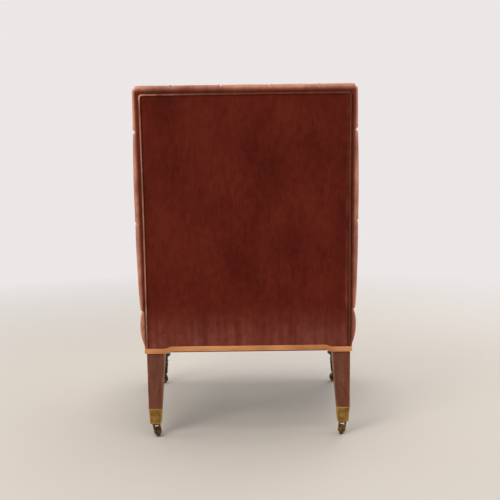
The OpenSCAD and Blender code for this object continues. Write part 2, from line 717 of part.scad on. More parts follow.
// Grid of the buttoned face
front_cols = floor((front_half - grid_edge) / grid_x);
rows_up = floor((front_top_z - top_button_z - grid_edge) / grid_z);
rows_down = floor((top_button_z - pad_bottom_z - grid_edge) / grid_z);
face_x = concat([-front_half], [for (i = [-front_cols:front_cols]) i * grid_x], [front_half]);
face_z = concat([pad_bottom_z], [for (j = [-rows_down:rows_up]) top_button_z + j * grid_z], [front_top_z]);

// Point of the cover's side wall: ring k, from the rear rim forward
function wall_depth(k) = back_depth * wall_depth_shares[k];
function notch(x, z) = edge_notch * (1 - sqrt(fullness(x, z)));
function rim_x(z) = upright_x(z) + rim_out;
function belly(z) = back_belly * sin(180 * pow((z - pad_bottom_z) / (back_top_z - pad_bottom_z), 0.7));
function wall_x(k, z) = lerp(rim_x(z), back_mid_x + belly(z) - notch(back_mid_x, z) * fade(z),
    wall_swell_shares[k]);
function wall_z(k, x) = lerp(upright_top_z + rim_out, back_top_z - notch(x, back_top_z), wall_swell_shares[k]);
module back_shell() {
    nx = len(face_x);
    nz = len(face_z);
    rings = len(wall_depth_shares);
    n = nz * 2 + nx - 2;
    round_in = frame_corner_r * 0.3;
    // Places along the rim: up the right side, over the top and down the left side
    route = concat(
        [for (j = [0:nz - 1]) [1, j]], [for (i = [nx - 2:-1:1]) [0, i]], [for (j = [nz - 1:-1:0]) [-1, j]]);
    function wall_point(k, p) =
        p[0] == 0 ? back_point(face_x[p[1]], wall_depth(k), wall_z(k, face_x[p[1]])) :
        p[1] == nz - 1 ? back_point(p[0] * (wall_x(k, front_top_z) - round_in), wall_depth(k),
            wall_z(k, front_half) - round_in) :
        back_point(p[0] * wall_x(k, face_z[p[1]]), wall_depth(k), face_z[p[1]]);
    function face_point(i, j) =
        back_point(face_x[i], i == 0 || i == nx - 1 || j == 0 || j == nz - 1
            ? back_depth * shoulder_depth_share : face_depth(face_x[i], face_z[j]), face_z[j]);
    function face_index(p) = p[0] == 0 ? p[1] + (nz - 1) * nx : (p[0] > 0 ? nx - 1 : 0) + p[1] * nx;
    walls = [for (k = [0:rings - 1], p = route) wall_point(k, p)];
    faces_z = [for (j = [0:nz - 1], i = [0:nx - 1]) face_point(i, j)];
    base = rings * n;
    inner = [for (p = route) base + face_index(p)];
    ring_of = function (k, s) k < rings ? k * n + s : inner[s];
    polyhedron(
        points = concat(walls, faces_z),
        faces = concat(
            [for (k = [0:rings - 1], s = [0:n - 2], h = [0, 1])
                h == 0 ? [ring_of(k, s), ring_of(k + 1, s), ring_of(k + 1, s + 1)]
                       : [ring_of(k, s), ring_of(k + 1, s + 1), ring_of(k, s + 1)]],
            [for (j = [0:nz - 2], i = [0:nx - 2], h = [0, 1])
                let (a = base + j * nx + i, b = a + 1, c = b + nx, d = a + nx, even = folds_rise(i, j))
                even ? (h == 0 ? [a, d, c] : [a, c, b]) : (h == 0 ? [a, d, b] : [b, d, c])],
            [[for (s = [0:n - 1]) s]],
            [concat([for (k = [0:rings - 1]) k * n], [for (i = [nx - 1:-1:0]) base + i],
                [for (k = [rings - 1:-1:0]) k * n + n - 1])]
        ));
}
// Which way a cell of the face is halved, so that its edge runs along a fold
function folds_rise(i, j) =
    let (x = (face_x[i] + face_x[i + 1]) / 2, z = (face_z[j] + face_z[j + 1]) / 2,
         a = (abs(x) - edge_button_x) / button_pitch, b = (z - top_button_z) / button_rise,
         rising = wave(a - b) < wave(a + b))
    x < 0 ? !rising : rising;
module back_cover() {
    color([0.45, 0.16, 0.12])
        difference() {
            back_shell();
            back_slab(
                function (z) -upright_x(z) - cover_gap, function (z) upright_x(z) + cover_gap,
                pad_bottom_z - overrun, upright_top_z + cover_gap,
                function (z) -overrun, function (z) first_pad_depth);
        }
}

// Covered buttons drawn into the folds, with the twine that holds each
module on_back(x, z, q) {
    translate(back_point(x, q, z)) rotate([90 + back_rake, 0, 0]) children();
}
function button_seat(z) = back_depth - fold_depth - button_sink;
module back_buttons() {
    dome = [for (a = [0:15:90]) [button_r * cos(a), button_t / 2 + button_t / 2 * sin(a)]];
    color([0.5, 0.2, 0.15])
        for (b = button_places())
            on_back(b[0], b[1], button_seat(b[1]) - button_t / 4)
                rotate_extrude() polygon(concat([[0, 0], [button_r, 0]], dome));
}
module button_twines() {
    color([0.8, 0.74, 0.6])
        for (b = button_places())
            on_back(b[0], b[1], upright_d(b[1]) - twine_r * 4)
                cylinder(r = twine_r, h = button_seat(b[1]) - upright_d(b[1]) + twine_r * 4);
}

// Plain panel of the outside back, piped on both sides and the top
function pipe_x(z) = rim_x(z) - piping_r - cover_gap;
function pipe_z() = upright_top_z + rim_out - piping_r - cover_gap;
// Point of the piping's turn at the top right corner, moved outwards
function pipe_turn(a, out) = [
    pipe_x(pipe_z()) - piping_turn_r + (piping_turn_r + out) * cos(a),
    pipe_z() - piping_turn_r + (piping_turn_r + out) * sin(a)];
module outside_back() {
    inside = -piping_r - fit_gap;
    right = concat([[pipe_x(rail_bottom_z) + inside, rail_bottom_z]], [for (a = [0:22.5:90]) pipe_turn(a, inside)]);
    outline = concat([for (p = right) [-p[0], p[1]]], [for (i = [len(right) - 1:-1:0]) right[i]]);
    color([0.35, 0.12, 0.09])
        loft([for (q = [-fit_gap, -fit_gap - panel_t]) [for (p = outline) back_point(p[0], q, p[1])]]);
}
module back_piping() {
    z_low = leg_bare_z + gimp_w + soft_gap;
    side = function (z) back_point(pipe_x(z), -fit_gap - piping_r, z);
    right = concat([side(z_low), side((z_low + pipe_z()) / 2)],
        [for (a = [0:22.5:90]) let (p = pipe_turn(a, 0)) back_point(p[0], -fit_gap - piping_r, p[1])]);
    left = [for (i = [len(right) - 1:-1:0]) [-right[i][0], right[i][1], right[i][2]]];
    color([0.62, 0.36, 0.28])
        tube(concat(right, left), piping_r, piping_sides, [0, cos(back_rake), -sin(back_rake)]);
}

// Gimp braid round the lower edge, stepping down over each leg
function panel_rear() = rear_plane(leg_bare_z + gimp_step + gimp_w) + panel_t + fit_gap;
module gimp_braid() {
    ring = function (out) concat(
        [for (p = right_outline(rim_out + fit_gap + out, panel_rear() + fit_gap + out)) p]);
    raised = function (p) abs(p[0]) < front_leg_x - front_block / 2 && p[1] < -frame_depth / 2
        || p[1] > front_block - frame_depth + gimp_slope / 2 && p[1] < -rear_leg_top - gimp_slope / 2 ? 1 : 0;
    rear_x = [frame_rear_w / 2 - rear_leg_top, frame_rear_w / 2 - rear_leg_top - gimp_slope];
    section = function (p, q, up)
        let (z = leg_bare_z + up * gimp_step)
        [[p[0], p[1], z], [q[0], q[1], z], [q[0], q[1], z + gimp_w], [p[0], p[1], z + gimp_w]];
    inner = ring(0);
    outer = ring(gimp_t);
    y_in = panel_rear() + fit_gap;
    half = concat(
        [for (i = [0:len(inner) - 1]) section(inner[i], outer[i], raised(inner[i]))],
        [for (k = [0, 1]) section([rear_x[k], y_in], [rear_x[k], y_in + gimp_t], k)]);
    rest = [for (i = [len(half) - 1:-1:0]) [for (p = half[i]) [-p[0], p[1], p[2]]]];
    rings = concat(half, rest);
    m = len(rings);
    color([0.75, 0.5, 0.3])
        polyhedron(points = [for (r = rings, p = r) p],
            faces = [for (i = [0:m - 1], j = [0:3], h = [0, 1])
                let (a = i * 4 + j, b = i * 4 + (j + 1) % 4, c = (i + 1) % m * 4 + j, d = (i + 1) % m * 4 + (j + 1) % 4)
                h == 0 ? [a, b, d] : [a, d, c]]);
}

// Castor cups: square ones at the back and round ones at the front
module at_castor(front, side) {
    translate([side * (front ? front_leg_x : rear_foot_x), front ? front_leg_y : rear_foot_y, 0]) children();
}
module taper(side_at, z0, z1, inset) {
    loft([for (z = [z0, z1])
        let (h = side_at(z) / 2 - inset) box_ring(-h, h, -h, h, z)]);
}
module pintle_bore() {
    translate([0, 0, cup_z - overrun]) cylinder(r = pintle_r + running_gap, h = cup_h);
}
module castor_cup_rear(side) {
    floor_z = cup_z + cup_floor;
    color([0.55, 0.42, 0.2])
        at_castor(false, side)
            difference() {
                taper(function (z) cup_side(z), cup_z, cup_top_z, 0);
                taper(function (z) cup_side(z), floor_z, cup_top_z + cup_floor, cup_wall);
                pintle_bore();
            }
}
module castor_cup_front(side) {
    floor_z = cup_z + cup_floor;
    bore_r = pintle_r + running_gap;
    color([0.5, 0.38, 0.18])
        at_castor(true, side)
            rotate_extrude()
                polygon([
                    [bore_r, cup_z], [round_cup_r(cup_z), cup_z],
                    [round_cup_r(cup_top_z - cup_bead_h), cup_top_z - cup_bead_h],
                    [round_cup_top_r + cup_bead_out, cup_top_z - cup_bead_h],
                    [round_cup_top_r + cup_bead_out, cup_top_z],
                    [round_cup_top_r - cup_wall, cup_top_z],
                    [round_cup_r(floor_z) - cup_wall, floor_z], [bore_r, floor_z]]);
}
module screw(x, z, out) {
    translate([x, 0, z]) rotate([0, 90, 0]) {
        translate([0, 0, -screw_l]) cylinder(r = screw_r, h = screw_l);
        cylinder(r = screw_head_r, h = out);
    }
}
module castor_screws() {
    z = cup_z + cup_h * 0.7;
    color([0.45, 0.34, 0.18])
        for (front = [false, true], side = [-1, 1])
            at_castor(front, side)
                for (m = [0, 1])
                    mirror([m, 0, 0])
                        screw(front ? round_cup_r(z) : cup_side(z) / 2, z, screw_r / 2);
}

// Castor horn: a crown plate with two cheeks, riveted to turn in its cup
module castor_horn(front, side, turn) {
    top_z = cup_z - horn_gap;
    cheek_in = wheel_w / 2 + wheel_side_gap;
    color([0.42, 0.34, 0.2])
        at_castor(front, side)
            rotate([0, 0, turn])
                difference() {
                    union() {
                        translate([0, 0, top_z]) cylinder(r = pintle_r, h = cup_floor + horn_gap * 2 + rivet_head_h);
                        translate([0, 0, cup_z + cup_floor + horn_gap]) cylinder(r = rivet_head_r, h = rivet_head_h);
                        translate([0, 0, top_z - crown_t]) cylinder(r = crown_r, h = crown_t);
                        for (s = [-1, 1])
                            translate([0, s * (cheek_in + cheek_t / 2) + cheek_t / 2, 0])
                                rotate([90, 0, 0]) linear_extrude(cheek_t) cheek_outline();
                    }
                    translate([castor_trail, cheek_in + cheek_t * 2, wheel_r])
                        rotate([90, 0, 0]) cylinder(r = axle_r, h = (cheek_in + cheek_t * 2) * 2);
                }
}
module cheek_outline() {
    top_z = cup_z - horn_gap;
    translate([castor_trail, wheel_r]) circle(r = cheek_eye_r);
    polygon([
        [-crown_r / 2, top_z - crown_t], [-crown_r / 2, top_z - crown_t / 4], [crown_r / 2, top_z - crown_t / 4],
        [castor_trail + cheek_eye_r, wheel_r + cheek_eye_r / 4],
        [castor_trail - cheek_eye_r, wheel_r]]);
}
module castor_axle(front, side, turn) {
    half = wheel_w / 2 + wheel_side_gap + cheek_t + axle_rivet_h;
    color([0.4, 0.36, 0.3])
        at_castor(front, side)
            rotate([0, 0, turn])
                translate([castor_trail, half, wheel_r]) rotate([90, 0, 0]) cylinder(r = axle_r, h = half * 2);
}
module castor_wheel(front, side, turn) {
    w = wheel_w / 2;
    web = w - wheel_web_sink;
    rim_r = wheel_r - wheel_rim;
    arc = [for (a = [0:22.5:90]) [wheel_r - tread_r + tread_r * sin(a), tread_r * cos(a)]];
    half = concat([[axle_r + running_gap, w], [wheel_hub_r, w], [wheel_hub_r, web], [rim_r, web], [rim_r, w - tread_r / 2]],
        [for (p = arc) [p[0], p[1] + w - tread_r * 1.5]]);
    outline = concat(half, [for (i = [len(half) - 1:-1:0]) [half[i][0], -half[i][1]]]);
    color([0.3, 0.24, 0.15])
        at_castor(front, side)
            rotate([0, 0, turn])
                translate([castor_trail, 0, wheel_r]) rotate([90, 0, 0]) rotate_extrude() polygon(outline);
}

// Moves the chair so that the origin is under the middle of its box
module placed() {
    translate([0, centre_y, 0]) children();
}

placed() rear_leg(1);  // rear_leg_left
placed() rear_leg(-1);  // rear_leg_right
placed() front_leg(1);  // front_leg_left
placed() front_leg(-1);  // front_leg_right
placed() front_rail();
placed() back_rail();
placed() side_rail(1);  // side_rail_left
placed() side_rail(-1);  // side_rail_right
placed() corner_braces();
placed() frame_dowels();
placed() back_top_rail();
placed() back_lower_rail();
placed() seat_webbing();
placed() webbing_tacks();
placed() seat_springs();
placed() spring_hessian();
placed() seat_stuffing();
placed() seat_cover();
placed() bottom_canvas();
placed() back_webbing();
placed() back_hessian();
placed() back_stuffing();
placed() back_cover();
placed() back_buttons();
placed() button_twines();
placed() outside_back();
placed() back_piping();
placed() gimp_braid();
placed() castor_cup_rear(1);  // castor_cup_rear_left
placed() castor_cup_rear(-1);  // castor_cup_rear_right
placed() castor_cup_front(1);  // castor_cup_front_left
placed() castor_cup_front(-1);  // castor_cup_front_right
placed() castor_screws();
placed() castor_horn(false, 1, rear_left_turn);  // castor_horn_rear_left
placed() castor_horn(false, -1, rear_right_turn);  // castor_horn_rear_right
placed() castor_horn(true, 1, front_left_turn);  // castor_horn_front_left
placed() castor_horn(true, -1, front_right_turn);  // castor_horn_front_right
placed() castor_axle(false, 1, rear_left_turn);  // castor_axle_rear_left
placed() castor_axle(false, -1, rear_right_turn);  // castor_axle_rear_right
placed() castor_axle(true, 1, front_left_turn);  // castor_axle_front_left
placed() castor_axle(true, -1, front_right_turn);  // castor_axle_front_right
placed() castor_wheel(false, 1, rear_left_turn);  // castor_wheel_rear_left
placed() castor_wheel(false, -1, rear_right_turn);  // castor_wheel_rear_right
placed() castor_wheel(true, 1, front_left_turn);  // castor_wheel_front_left
placed() castor_wheel(true, -1, front_right_turn);  // castor_wheel_front_right
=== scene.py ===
import math

import bmesh
import bpy
import numpy as np
from mathutils import Matrix, Vector
from mathutils.bvhtree import BVHTree
from mathutils.noise import noise


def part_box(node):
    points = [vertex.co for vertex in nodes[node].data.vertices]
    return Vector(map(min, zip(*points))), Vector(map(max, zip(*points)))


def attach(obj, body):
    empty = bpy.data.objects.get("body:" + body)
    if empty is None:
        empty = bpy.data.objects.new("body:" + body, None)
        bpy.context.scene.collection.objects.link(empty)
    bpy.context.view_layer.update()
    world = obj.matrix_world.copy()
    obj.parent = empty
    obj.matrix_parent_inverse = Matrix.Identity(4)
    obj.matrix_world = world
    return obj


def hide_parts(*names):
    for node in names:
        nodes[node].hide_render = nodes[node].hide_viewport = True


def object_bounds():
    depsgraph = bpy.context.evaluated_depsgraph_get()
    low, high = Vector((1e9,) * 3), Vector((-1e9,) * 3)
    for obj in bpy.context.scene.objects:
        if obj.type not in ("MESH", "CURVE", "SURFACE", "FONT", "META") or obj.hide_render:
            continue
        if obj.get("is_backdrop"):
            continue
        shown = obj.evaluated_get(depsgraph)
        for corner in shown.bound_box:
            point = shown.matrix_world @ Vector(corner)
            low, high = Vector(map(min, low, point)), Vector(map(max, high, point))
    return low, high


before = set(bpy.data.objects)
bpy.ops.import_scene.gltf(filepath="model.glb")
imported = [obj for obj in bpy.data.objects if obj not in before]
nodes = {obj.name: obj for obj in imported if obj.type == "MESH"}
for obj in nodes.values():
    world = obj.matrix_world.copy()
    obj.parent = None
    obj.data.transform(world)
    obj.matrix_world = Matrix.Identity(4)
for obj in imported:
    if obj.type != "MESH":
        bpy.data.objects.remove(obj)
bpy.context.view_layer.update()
mm = 0.001


# Seat frame and back rails
# Planed beech rails, dowelled to the legs, with diagonal braces glued into the corners.
# They carry the webbing, the springs and the tacks, and the covers hide them.
def linear(hex_colour):
    """An sRGB hex colour as the linear colour that a shader takes."""
    parts = [int(hex_colour[i : i + 2], 16) / 255 for i in (1, 3, 5)]
    return [c / 12.92 if c <= 0.04045 else ((c + 0.055) / 1.055) ** 2.4 for c in parts] + [1.0]


def add(tree, kind, links=None, stops=None, **settings):
    """Adds a node with its settings. A link is a plain value, a hex colour, another node's output, or the
    node itself for its first output in use. Each stop of a ramp is a place and a hex colour or a grey."""
    made = tree.nodes.new(kind)
    for name, value in settings.items():
        setattr(made, name, value)
    for name, value in (links or {}).items():
        socket = made.inputs[name]
        if isinstance(value, bpy.types.Node):
            value = next(output for output in value.outputs if output.enabled)
        if isinstance(value, bpy.types.NodeSocket):
            tree.links.new(value, socket)
        else:
            socket.default_value = linear(value) if str(value).startswith("#") else value
    if stops:
        ramp = made.color_ramp
        while len(ramp.elements) < len(stops):
            ramp.elements.new(1.0)
        for element, (place, colour) in zip(ramp.elements, stops):
            element.position = place
            element.color = linear(colour) if isinstance(colour, str) else [colour] * 3 + [1.0]
    return made


def new_material(name):
    """An empty material, its node tree and its Object coordinates."""
    made = bpy.data.materials.new(name)
    made.use_nodes = True
    made.node_tree.nodes.clear()
    place = add(made.node_tree, "ShaderNodeTexCoord").outputs["Object"]
    return made, made.node_tree, place


def pattern(tree, place, sizes, kind="ShaderNodeTexNoise", **sockets):
    """Adds a texture that changes over the given sizes in millimetres along X, Y and Z."""
    scale = [1 / (size * mm) for size in sizes]
    spaced = add(tree, "ShaderNodeMapping", {"Vector": place, "Scale": scale})
    return add(tree, kind, {"Vector": spaced, "Scale": 1.0, **sockets})


def shade(tree, relief, depth, **sockets):
    """Ends a material with its surface shader, over a relief whose full depth is given in millimetres."""
    normal = add(tree, "ShaderNodeBump", {"Height": relief, "Distance": depth * mm})
    links = {name.replace("_", " "): value for name, value in sockets.items()}
    shader = add(tree, "ShaderNodeBsdfPrincipled", {"Normal": normal, **links})
    add(tree, "ShaderNodeOutputMaterial", {"Surface": shader})


def planed_beech(name, along):
    """Pale pinkish brown wood with straight faint grain and short dark flecks."""
    made, tree, place = new_material(name)
    grain, fleck = [2.5] * 3, [0.7] * 3
    grain[along], fleck[along] = 90, 4
    bands = pattern(tree, place, grain, Detail=4.0)
    flecks = pattern(tree, place, fleck, Detail=2.0)
    tone = add(tree, "ShaderNodeValToRGB", {"Fac": bands},
               stops=[(0.3, "#b98d5e"), (0.55, "#cda273"), (0.75, "#dab488")])
    dark = add(tree, "ShaderNodeValToRGB", {"Fac": flecks}, stops=[(0.6, 0.0), (0.68, 1.0)])
    colour = add(tree, "ShaderNodeMix", {"Factor": dark, "A": tone, "B": "#9a6c42"}, data_type="RGBA")
    shade(tree, bands, 0.15, Base_Color=colour, Roughness=0.62)
    return made


def dress(node, material):
    """Gives a CAD piece, which keeps its shape, its finish."""
    for place in nodes[node].material_slots:
        place.material = material


beech_across = planed_beech("planed beech, grain across the chair", 0)
beech_along = planed_beech("planed beech, grain along the chair", 1)
for rail in ("front_rail", "back_rail", "back_top_rail", "back_lower_rail", "corner_braces", "frame_dowels"):
    dress(rail, beech_across)
for rail in ("side_rail_left", "side_rail_right"):
    dress(rail, beech_along)


# Rear legs
# Each is sawn from one piece of mahogany with the upright of the back, square and tapered, raked out
# behind the chair, then stained, French polished and rubbed paler along its arrises by years of use.
def french_polished_mahogany():
    """Red brown wood with long fine grain and dark pores under a thin shellac shine."""
    made, tree, place = new_material("French polished mahogany")
    figure = pattern(tree, place, (9, 9, 140), Detail=5.0, Roughness=0.6, Distortion=0.6)
    pores = pattern(tree, place, (0.9, 0.9, 9), Detail=2.0)
    patches = pattern(tree, place, (35, 35, 60), Detail=3.0)
    tone = add(tree, "ShaderNodeValToRGB", {"Fac": figure},
               stops=[(0.28, "#572713"), (0.5, "#6f371e"), (0.7, "#824726")])
    pore = add(tree, "ShaderNodeValToRGB", {"Fac": pores}, stops=[(0.56, 0.0), (0.66, 1.0)])
    wood = add(tree, "ShaderNodeMix", {"Factor": pore, "A": tone, "B": "#48200f"}, data_type="RGBA")
    arris = add(tree, "ShaderNodeAttribute", attribute_name="arris")
    rubbed = add(tree, "ShaderNodeMath", {0: arris.outputs["Fac"], 1: patches}, operation="MULTIPLY")
    paled = add(tree, "ShaderNodeValToRGB", {"Fac": rubbed}, stops=[(0.3, 0.0), (0.62, 0.75)])
    colour = add(tree, "ShaderNodeMix", {"Factor": paled, "A": wood, "B": "#a9683e"}, data_type="RGBA")
    gloss = add(tree, "ShaderNodeMapRange", {"Value": patches, "To Min": 0.3, "To Max": 0.5})
    shade(tree, pores, 0.12, Base_Color=colour, Roughness=gloss, Specular_IOR_Level=0.3, Coat_Weight=0.12,
          Coat_Roughness=0.2)
    return made


def merged(node):
    """A copy of a CAD piece's mesh with its doubled points merged."""
    form = bmesh.new()
    form.from_mesh(nodes[node].data)
    bmesh.ops.remove_doubles(form, verts=form.verts, dist=0.01 * mm)
    return form


def mesh_of(form, name):
    """A mesh made from a form, which is used up."""
    mesh = bpy.data.meshes.new(name)
    form.to_mesh(mesh)
    form.free()
    return mesh


def linked(name, data):
    """An object in the scene for a mesh, a lamp or a camera."""
    made = bpy.data.objects.new(name, data)
    bpy.context.scene.collection.objects.link(made)
    return made


def finished(name, form, material, body):
    """Makes a form a smooth piece of the chair that moves with a body."""
    mesh = mesh_of(form, name)
    mesh.shade_smooth()
    made = linked(name, mesh)
    mesh.materials.append(material)
    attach(made, body)
    return made


def softened(node, round_off, wear):
    """A CAD piece's shape with its arrises rounded off, and a mark of how near each point is to one.
    Both sizes are in millimetres."""
    form = merged(node)
    bmesh.ops.dissolve_limit(form, angle_limit=math.radians(1), verts=form.verts, edges=form.edges)
    shape = BVHTree.FromBMesh(form)
    arrises = [e for e in form.edges if len(e.link_faces) == 2 and e.calc_face_angle(0) > math.radians(25)]
    rounded = bmesh.ops.bevel(form, geom=arrises, offset=round_off * mm, segments=3, profile=0.5,
                              affect="EDGES", clamp_overlap=True)
    near = set(rounded["faces"])
    flats = [f for f in form.faces if f not in near]
    for share, most in ((1, math.inf), (0.4, 1), (0.12, 0.4)):
        fits = [f for f in flats if share <= f.calc_area() / f.calc_perimeter() / (wear * mm) < most]
        bmesh.ops.inset_individual(form, faces=fits, thickness=wear * share * mm, use_even_offset=True)
    for vert in form.verts:
        spot, _, _, away = shape.find_nearest(vert.co)
        if away > 0.5 * round_off * mm:
            vert.co = spot
    mark = form.verts.layers.float.new("arris")
    for face in near:
        if face.is_valid:
            for vert in face.verts:
                vert[mark] = 1.0
    return form


mahogany = french_polished_mahogany()
for side in ("left", "right"):
    form = softened("rear_leg_" + side, round_off=1.1, wear=5)
    leg = finished("rear_leg_" + side + "_wood", form, mahogany, "chair")
    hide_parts("rear_leg_" + side)


# Front legs
# Turned on a lathe below a square block that the rails join: beads and hollows under the block, a
# long taper and a broad collar above the castor. They are polished, and their nearly black colour is a
# painted shade for the dark under the seat, far darker than the mahogany of the rear legs.
def polished_turning_in_painted_shade():
    """Nearly black brown wood, a painted shade in place of the wood's own colour: the grain barely shows, and
    the polish shows the turner's rings.
    """
    made, tree, place = new_material("polished turning in painted shade")
    grain = pattern(tree, place, (4, 4, 45), Detail=4.0)
    rings = pattern(tree, place, (60, 60, 0.8))
    tone = add(tree, "ShaderNodeValToRGB", {"Fac": grain},
               stops=[(0.3, "#1e0e07"), (0.55, "#33190d"), (0.75, "#4f2a17")])
    gloss = add(tree, "ShaderNodeMapRange", {"Value": grain, "To Min": 0.24, "To Max": 0.42})
    shade(tree, rings, 0.1, Base_Color=tone, Roughness=gloss, Specular_IOR_Level=0.25, Coat_Weight=0.1,
          Coat_Roughness=0.15)
    return made


def bead(top, bottom, root, crown):
    """Points of a rounded ring between two heights, from the top down, in millimetres."""
    middle, half = (top + bottom) / 2, (top - bottom) / 2
    turns = [math.pi * k / 8 for k in range(9)]
    return [(root + (crown - root) * math.sin(t), middle + half * math.cos(t)) for t in turns]


def swept(top, bottom, start, end, bow):
    """Points of a slender length whose radius changes from start to end with a slight outward bow."""
    return [(start + (end - start) * t + bow * math.sin(math.pi * t), top + (bottom - top) * t)
            for t in (k / 12 for k in range(13))]


def bridged(form, rings, closed=False):
    """Faces between rings of points, with a cap at each end unless the last meets the first."""
    pairs = list(zip(rings, rings[1:])) + ([(rings[-1], rings[0])] if closed else [])
    for here, there in pairs:
        for k in range(len(here)):
            n = (k + 1) % len(here)
            form.faces.new((here[k], there[k], there[n], here[n]))
    if not closed:
        form.faces.new(rings[0])
        form.faces.new(rings[-1][::-1])


def turned(form, outline, centre, steps=72):
    """Spins (radius, height) points in millimetres, listed from the top down, about an upright axis."""
    turns = [2 * math.pi * k / steps for k in range(steps)]
    bridged(form, [[form.verts.new((centre.x + r * mm * math.cos(t), centre.y + r * mm * math.sin(t), z * mm))
                    for t in turns] for r, z in outline])


def sliced(form, point, normal, drop=True):
    """Cuts a form along a plane, and drops what lies on the normal's side."""
    everything = list(form.verts) + list(form.edges) + list(form.faces)
    return bmesh.ops.bisect_plane(form, geom=everything, plane_co=point, plane_no=normal, clear_outer=drop)


frame_bottom, cup_top = 202, 69
leg_outline = (
    [(19.4, frame_bottom)]
    + bead(201.6, 192.5, 18.6, 21.7)
    + [(16.6, 191.8)]
    + swept(191.6, 187.6, 16.4, 16.4, -0.7)
    + bead(187, 171.5, 18.2, 22)
    + [(16.4, 170.8)]
    + swept(170.6, 167.6, 16.4, 16.4, -0.6)
    + [(18.6, 167)]
    + swept(166.6, 94, 19.6, 13.5, 1.9)
    + bead(93, 82, 16, 22.5)
    + swept(81.6, cup_top + 0.2, 15.2, 14.4, -0.6)
    + [(12.6, cup_top), (11, 42)]
)
# The front legs' nearly black colour is a painted shade for the dark under the seat.
turning = polished_turning_in_painted_shade()
for side in ("left", "right"):
    low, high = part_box("castor_cup_front_" + side)
    form = softened("front_leg_" + side, round_off=1, wear=4)
    cut = sliced(form, (0, 0, frame_bottom * mm), (0, 0, -1))
    bmesh.ops.holes_fill(form, edges=[e for e in cut["geom_cut"] if isinstance(e, bmesh.types.BMEdge)])
    turned(form, leg_outline, (low + high) / 2)
    leg = finished("front_leg_" + side + "_turning", form, turning, "chair")
    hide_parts("front_leg_" + side)


# Castor cups and their screws
# Cast brass sockets, square at the back and round at the front, driven onto the feet and held by a
# slotted brass screw on each side. The lacquer is gone, and the metal is olive brown where it isn't rubbed.
# The front sockets take a much darker copy of the brass, a painted shade for the dark under the seat.
def old_cast_brass(name, clean, tarnish, shine):
    """Yellow metal under brown tarnish, rubbed bright on the edges, with the fine grain of sand casting."""
    made, tree, place = new_material(name)
    cloud = pattern(tree, place, (14, 14, 14), Detail=4.0, Roughness=0.5)
    grit = pattern(tree, place, (0.8, 0.8, 0.8))
    arris = add(tree, "ShaderNodeAttribute", attribute_name="arris")
    share = {0: arris.outputs["Fac"], 1: 0.3, 2: cloud}
    rubbed = add(tree, "ShaderNodeMath", share, operation="MULTIPLY_ADD")
    clear = add(tree, "ShaderNodeValToRGB", {"Fac": rubbed}, stops=[(0.4, 0.0), (0.75, 1.0)])
    colour = add(tree, "ShaderNodeMix", {"Factor": clear, "A": tarnish, "B": clean}, data_type="RGBA")
    gloss = add(tree, "ShaderNodeMapRange", {"Value": clear, "To Min": shine + 0.22, "To Max": shine})
    shade(tree, grit, 0.12, Base_Color=colour, Metallic=0.92, Roughness=gloss)
    return made


def plain_mesh(holder, name):
    """Swaps an object for the mesh that its modifiers give."""
    graph = bpy.context.evaluated_depsgraph_get()
    mesh = bpy.data.meshes.new_from_object(holder.evaluated_get(graph), depsgraph=graph)
    bpy.data.objects.remove(holder)
    return linked(name, mesh)


def copies(name, model, places, material, body):
    """Copies of a small model, each set at a place and turned by three angles, as one mesh.
    The model is an object, and places holds (position, angles) pairs."""
    points = bpy.data.meshes.new(name + " places")
    points.from_pydata([place for place, _ in places], [], [])
    turn = points.attributes.new("turn", "FLOAT_VECTOR", "POINT")
    turn.data.foreach_set("vector", [a for _, angles in places for a in angles])
    holder = linked(name, points)
    tree = bpy.data.node_groups.new(name, "GeometryNodeTree")
    tree.interface.new_socket("Places", in_out="INPUT", socket_type="NodeSocketGeometry")
    shape = tree.interface.new_socket("Pattern", in_out="INPUT", socket_type="NodeSocketObject")
    size = tree.interface.new_socket("Size", in_out="INPUT", socket_type="NodeSocketFloat")
    tree.interface.new_socket("Copies", in_out="OUTPUT", socket_type="NodeSocketGeometry")
    given = add(tree, "NodeGroupInput")
    single = add(tree, "GeometryNodeObjectInfo", {"Object": given.outputs["Pattern"]})
    angles = add(tree, "GeometryNodeInputNamedAttribute", {"Name": "turn"}, data_type="FLOAT_VECTOR")
    facing = add(tree, "FunctionNodeEulerToRotation", {"Euler": angles.outputs["Attribute"]})
    spread = add(tree, "GeometryNodeInstanceOnPoints", {
        "Points": given.outputs["Places"], "Instance": single.outputs["Geometry"],
        "Rotation": facing, "Scale": given.outputs["Size"]})
    real = add(tree, "GeometryNodeRealizeInstances", {"Geometry": spread})
    painted = add(tree, "GeometryNodeSetMaterial", {"Geometry": real, "Material": material})
    add(tree, "NodeGroupOutput", {"Copies": painted})
    maker = holder.modifiers.new(name, "NODES")
    maker.node_group = tree
    maker[shape.identifier] = model
    maker[size.identifier] = 1.0
    made = plain_mesh(holder, name)
    bpy.data.objects.remove(model)
    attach(made, body)
    return made


def slotted_head(radius, height):
    """A domed screw head with a slot sawn across it, facing along X, with sizes in millimetres."""
    saw_width = 0.6
    form = bmesh.new()
    dome = [(radius * math.cos(t), height * math.sin(t)) for t in np.radians(np.linspace(84, 0, 8))]
    turned(form, dome + [(radius * 0.6, -0.2), (radius * 0.55, -2)], Vector(), 32)
    bmesh.ops.rotate(form, verts=form.verts, matrix=Matrix.Rotation(math.pi / 2, 3, "Y"))
    head = linked("screw head", mesh_of(form, "screw head"))
    form = bmesh.new()
    bmesh.ops.create_cube(form, size=mm)
    bmesh.ops.scale(form, vec=(height * 1.1, saw_width, radius * 3), verts=form.verts)
    bmesh.ops.translate(form, vec=(height * mm, 0, 0), verts=form.verts)
    saw = linked("screw slot", mesh_of(form, "screw slot"))
    cut = head.modifiers.new("slot", "BOOLEAN")
    cut.operation, cut.solver, cut.object = "DIFFERENCE", "EXACT", saw
    head = plain_mesh(head, "screw head")
    bpy.data.objects.remove(saw)
    return head


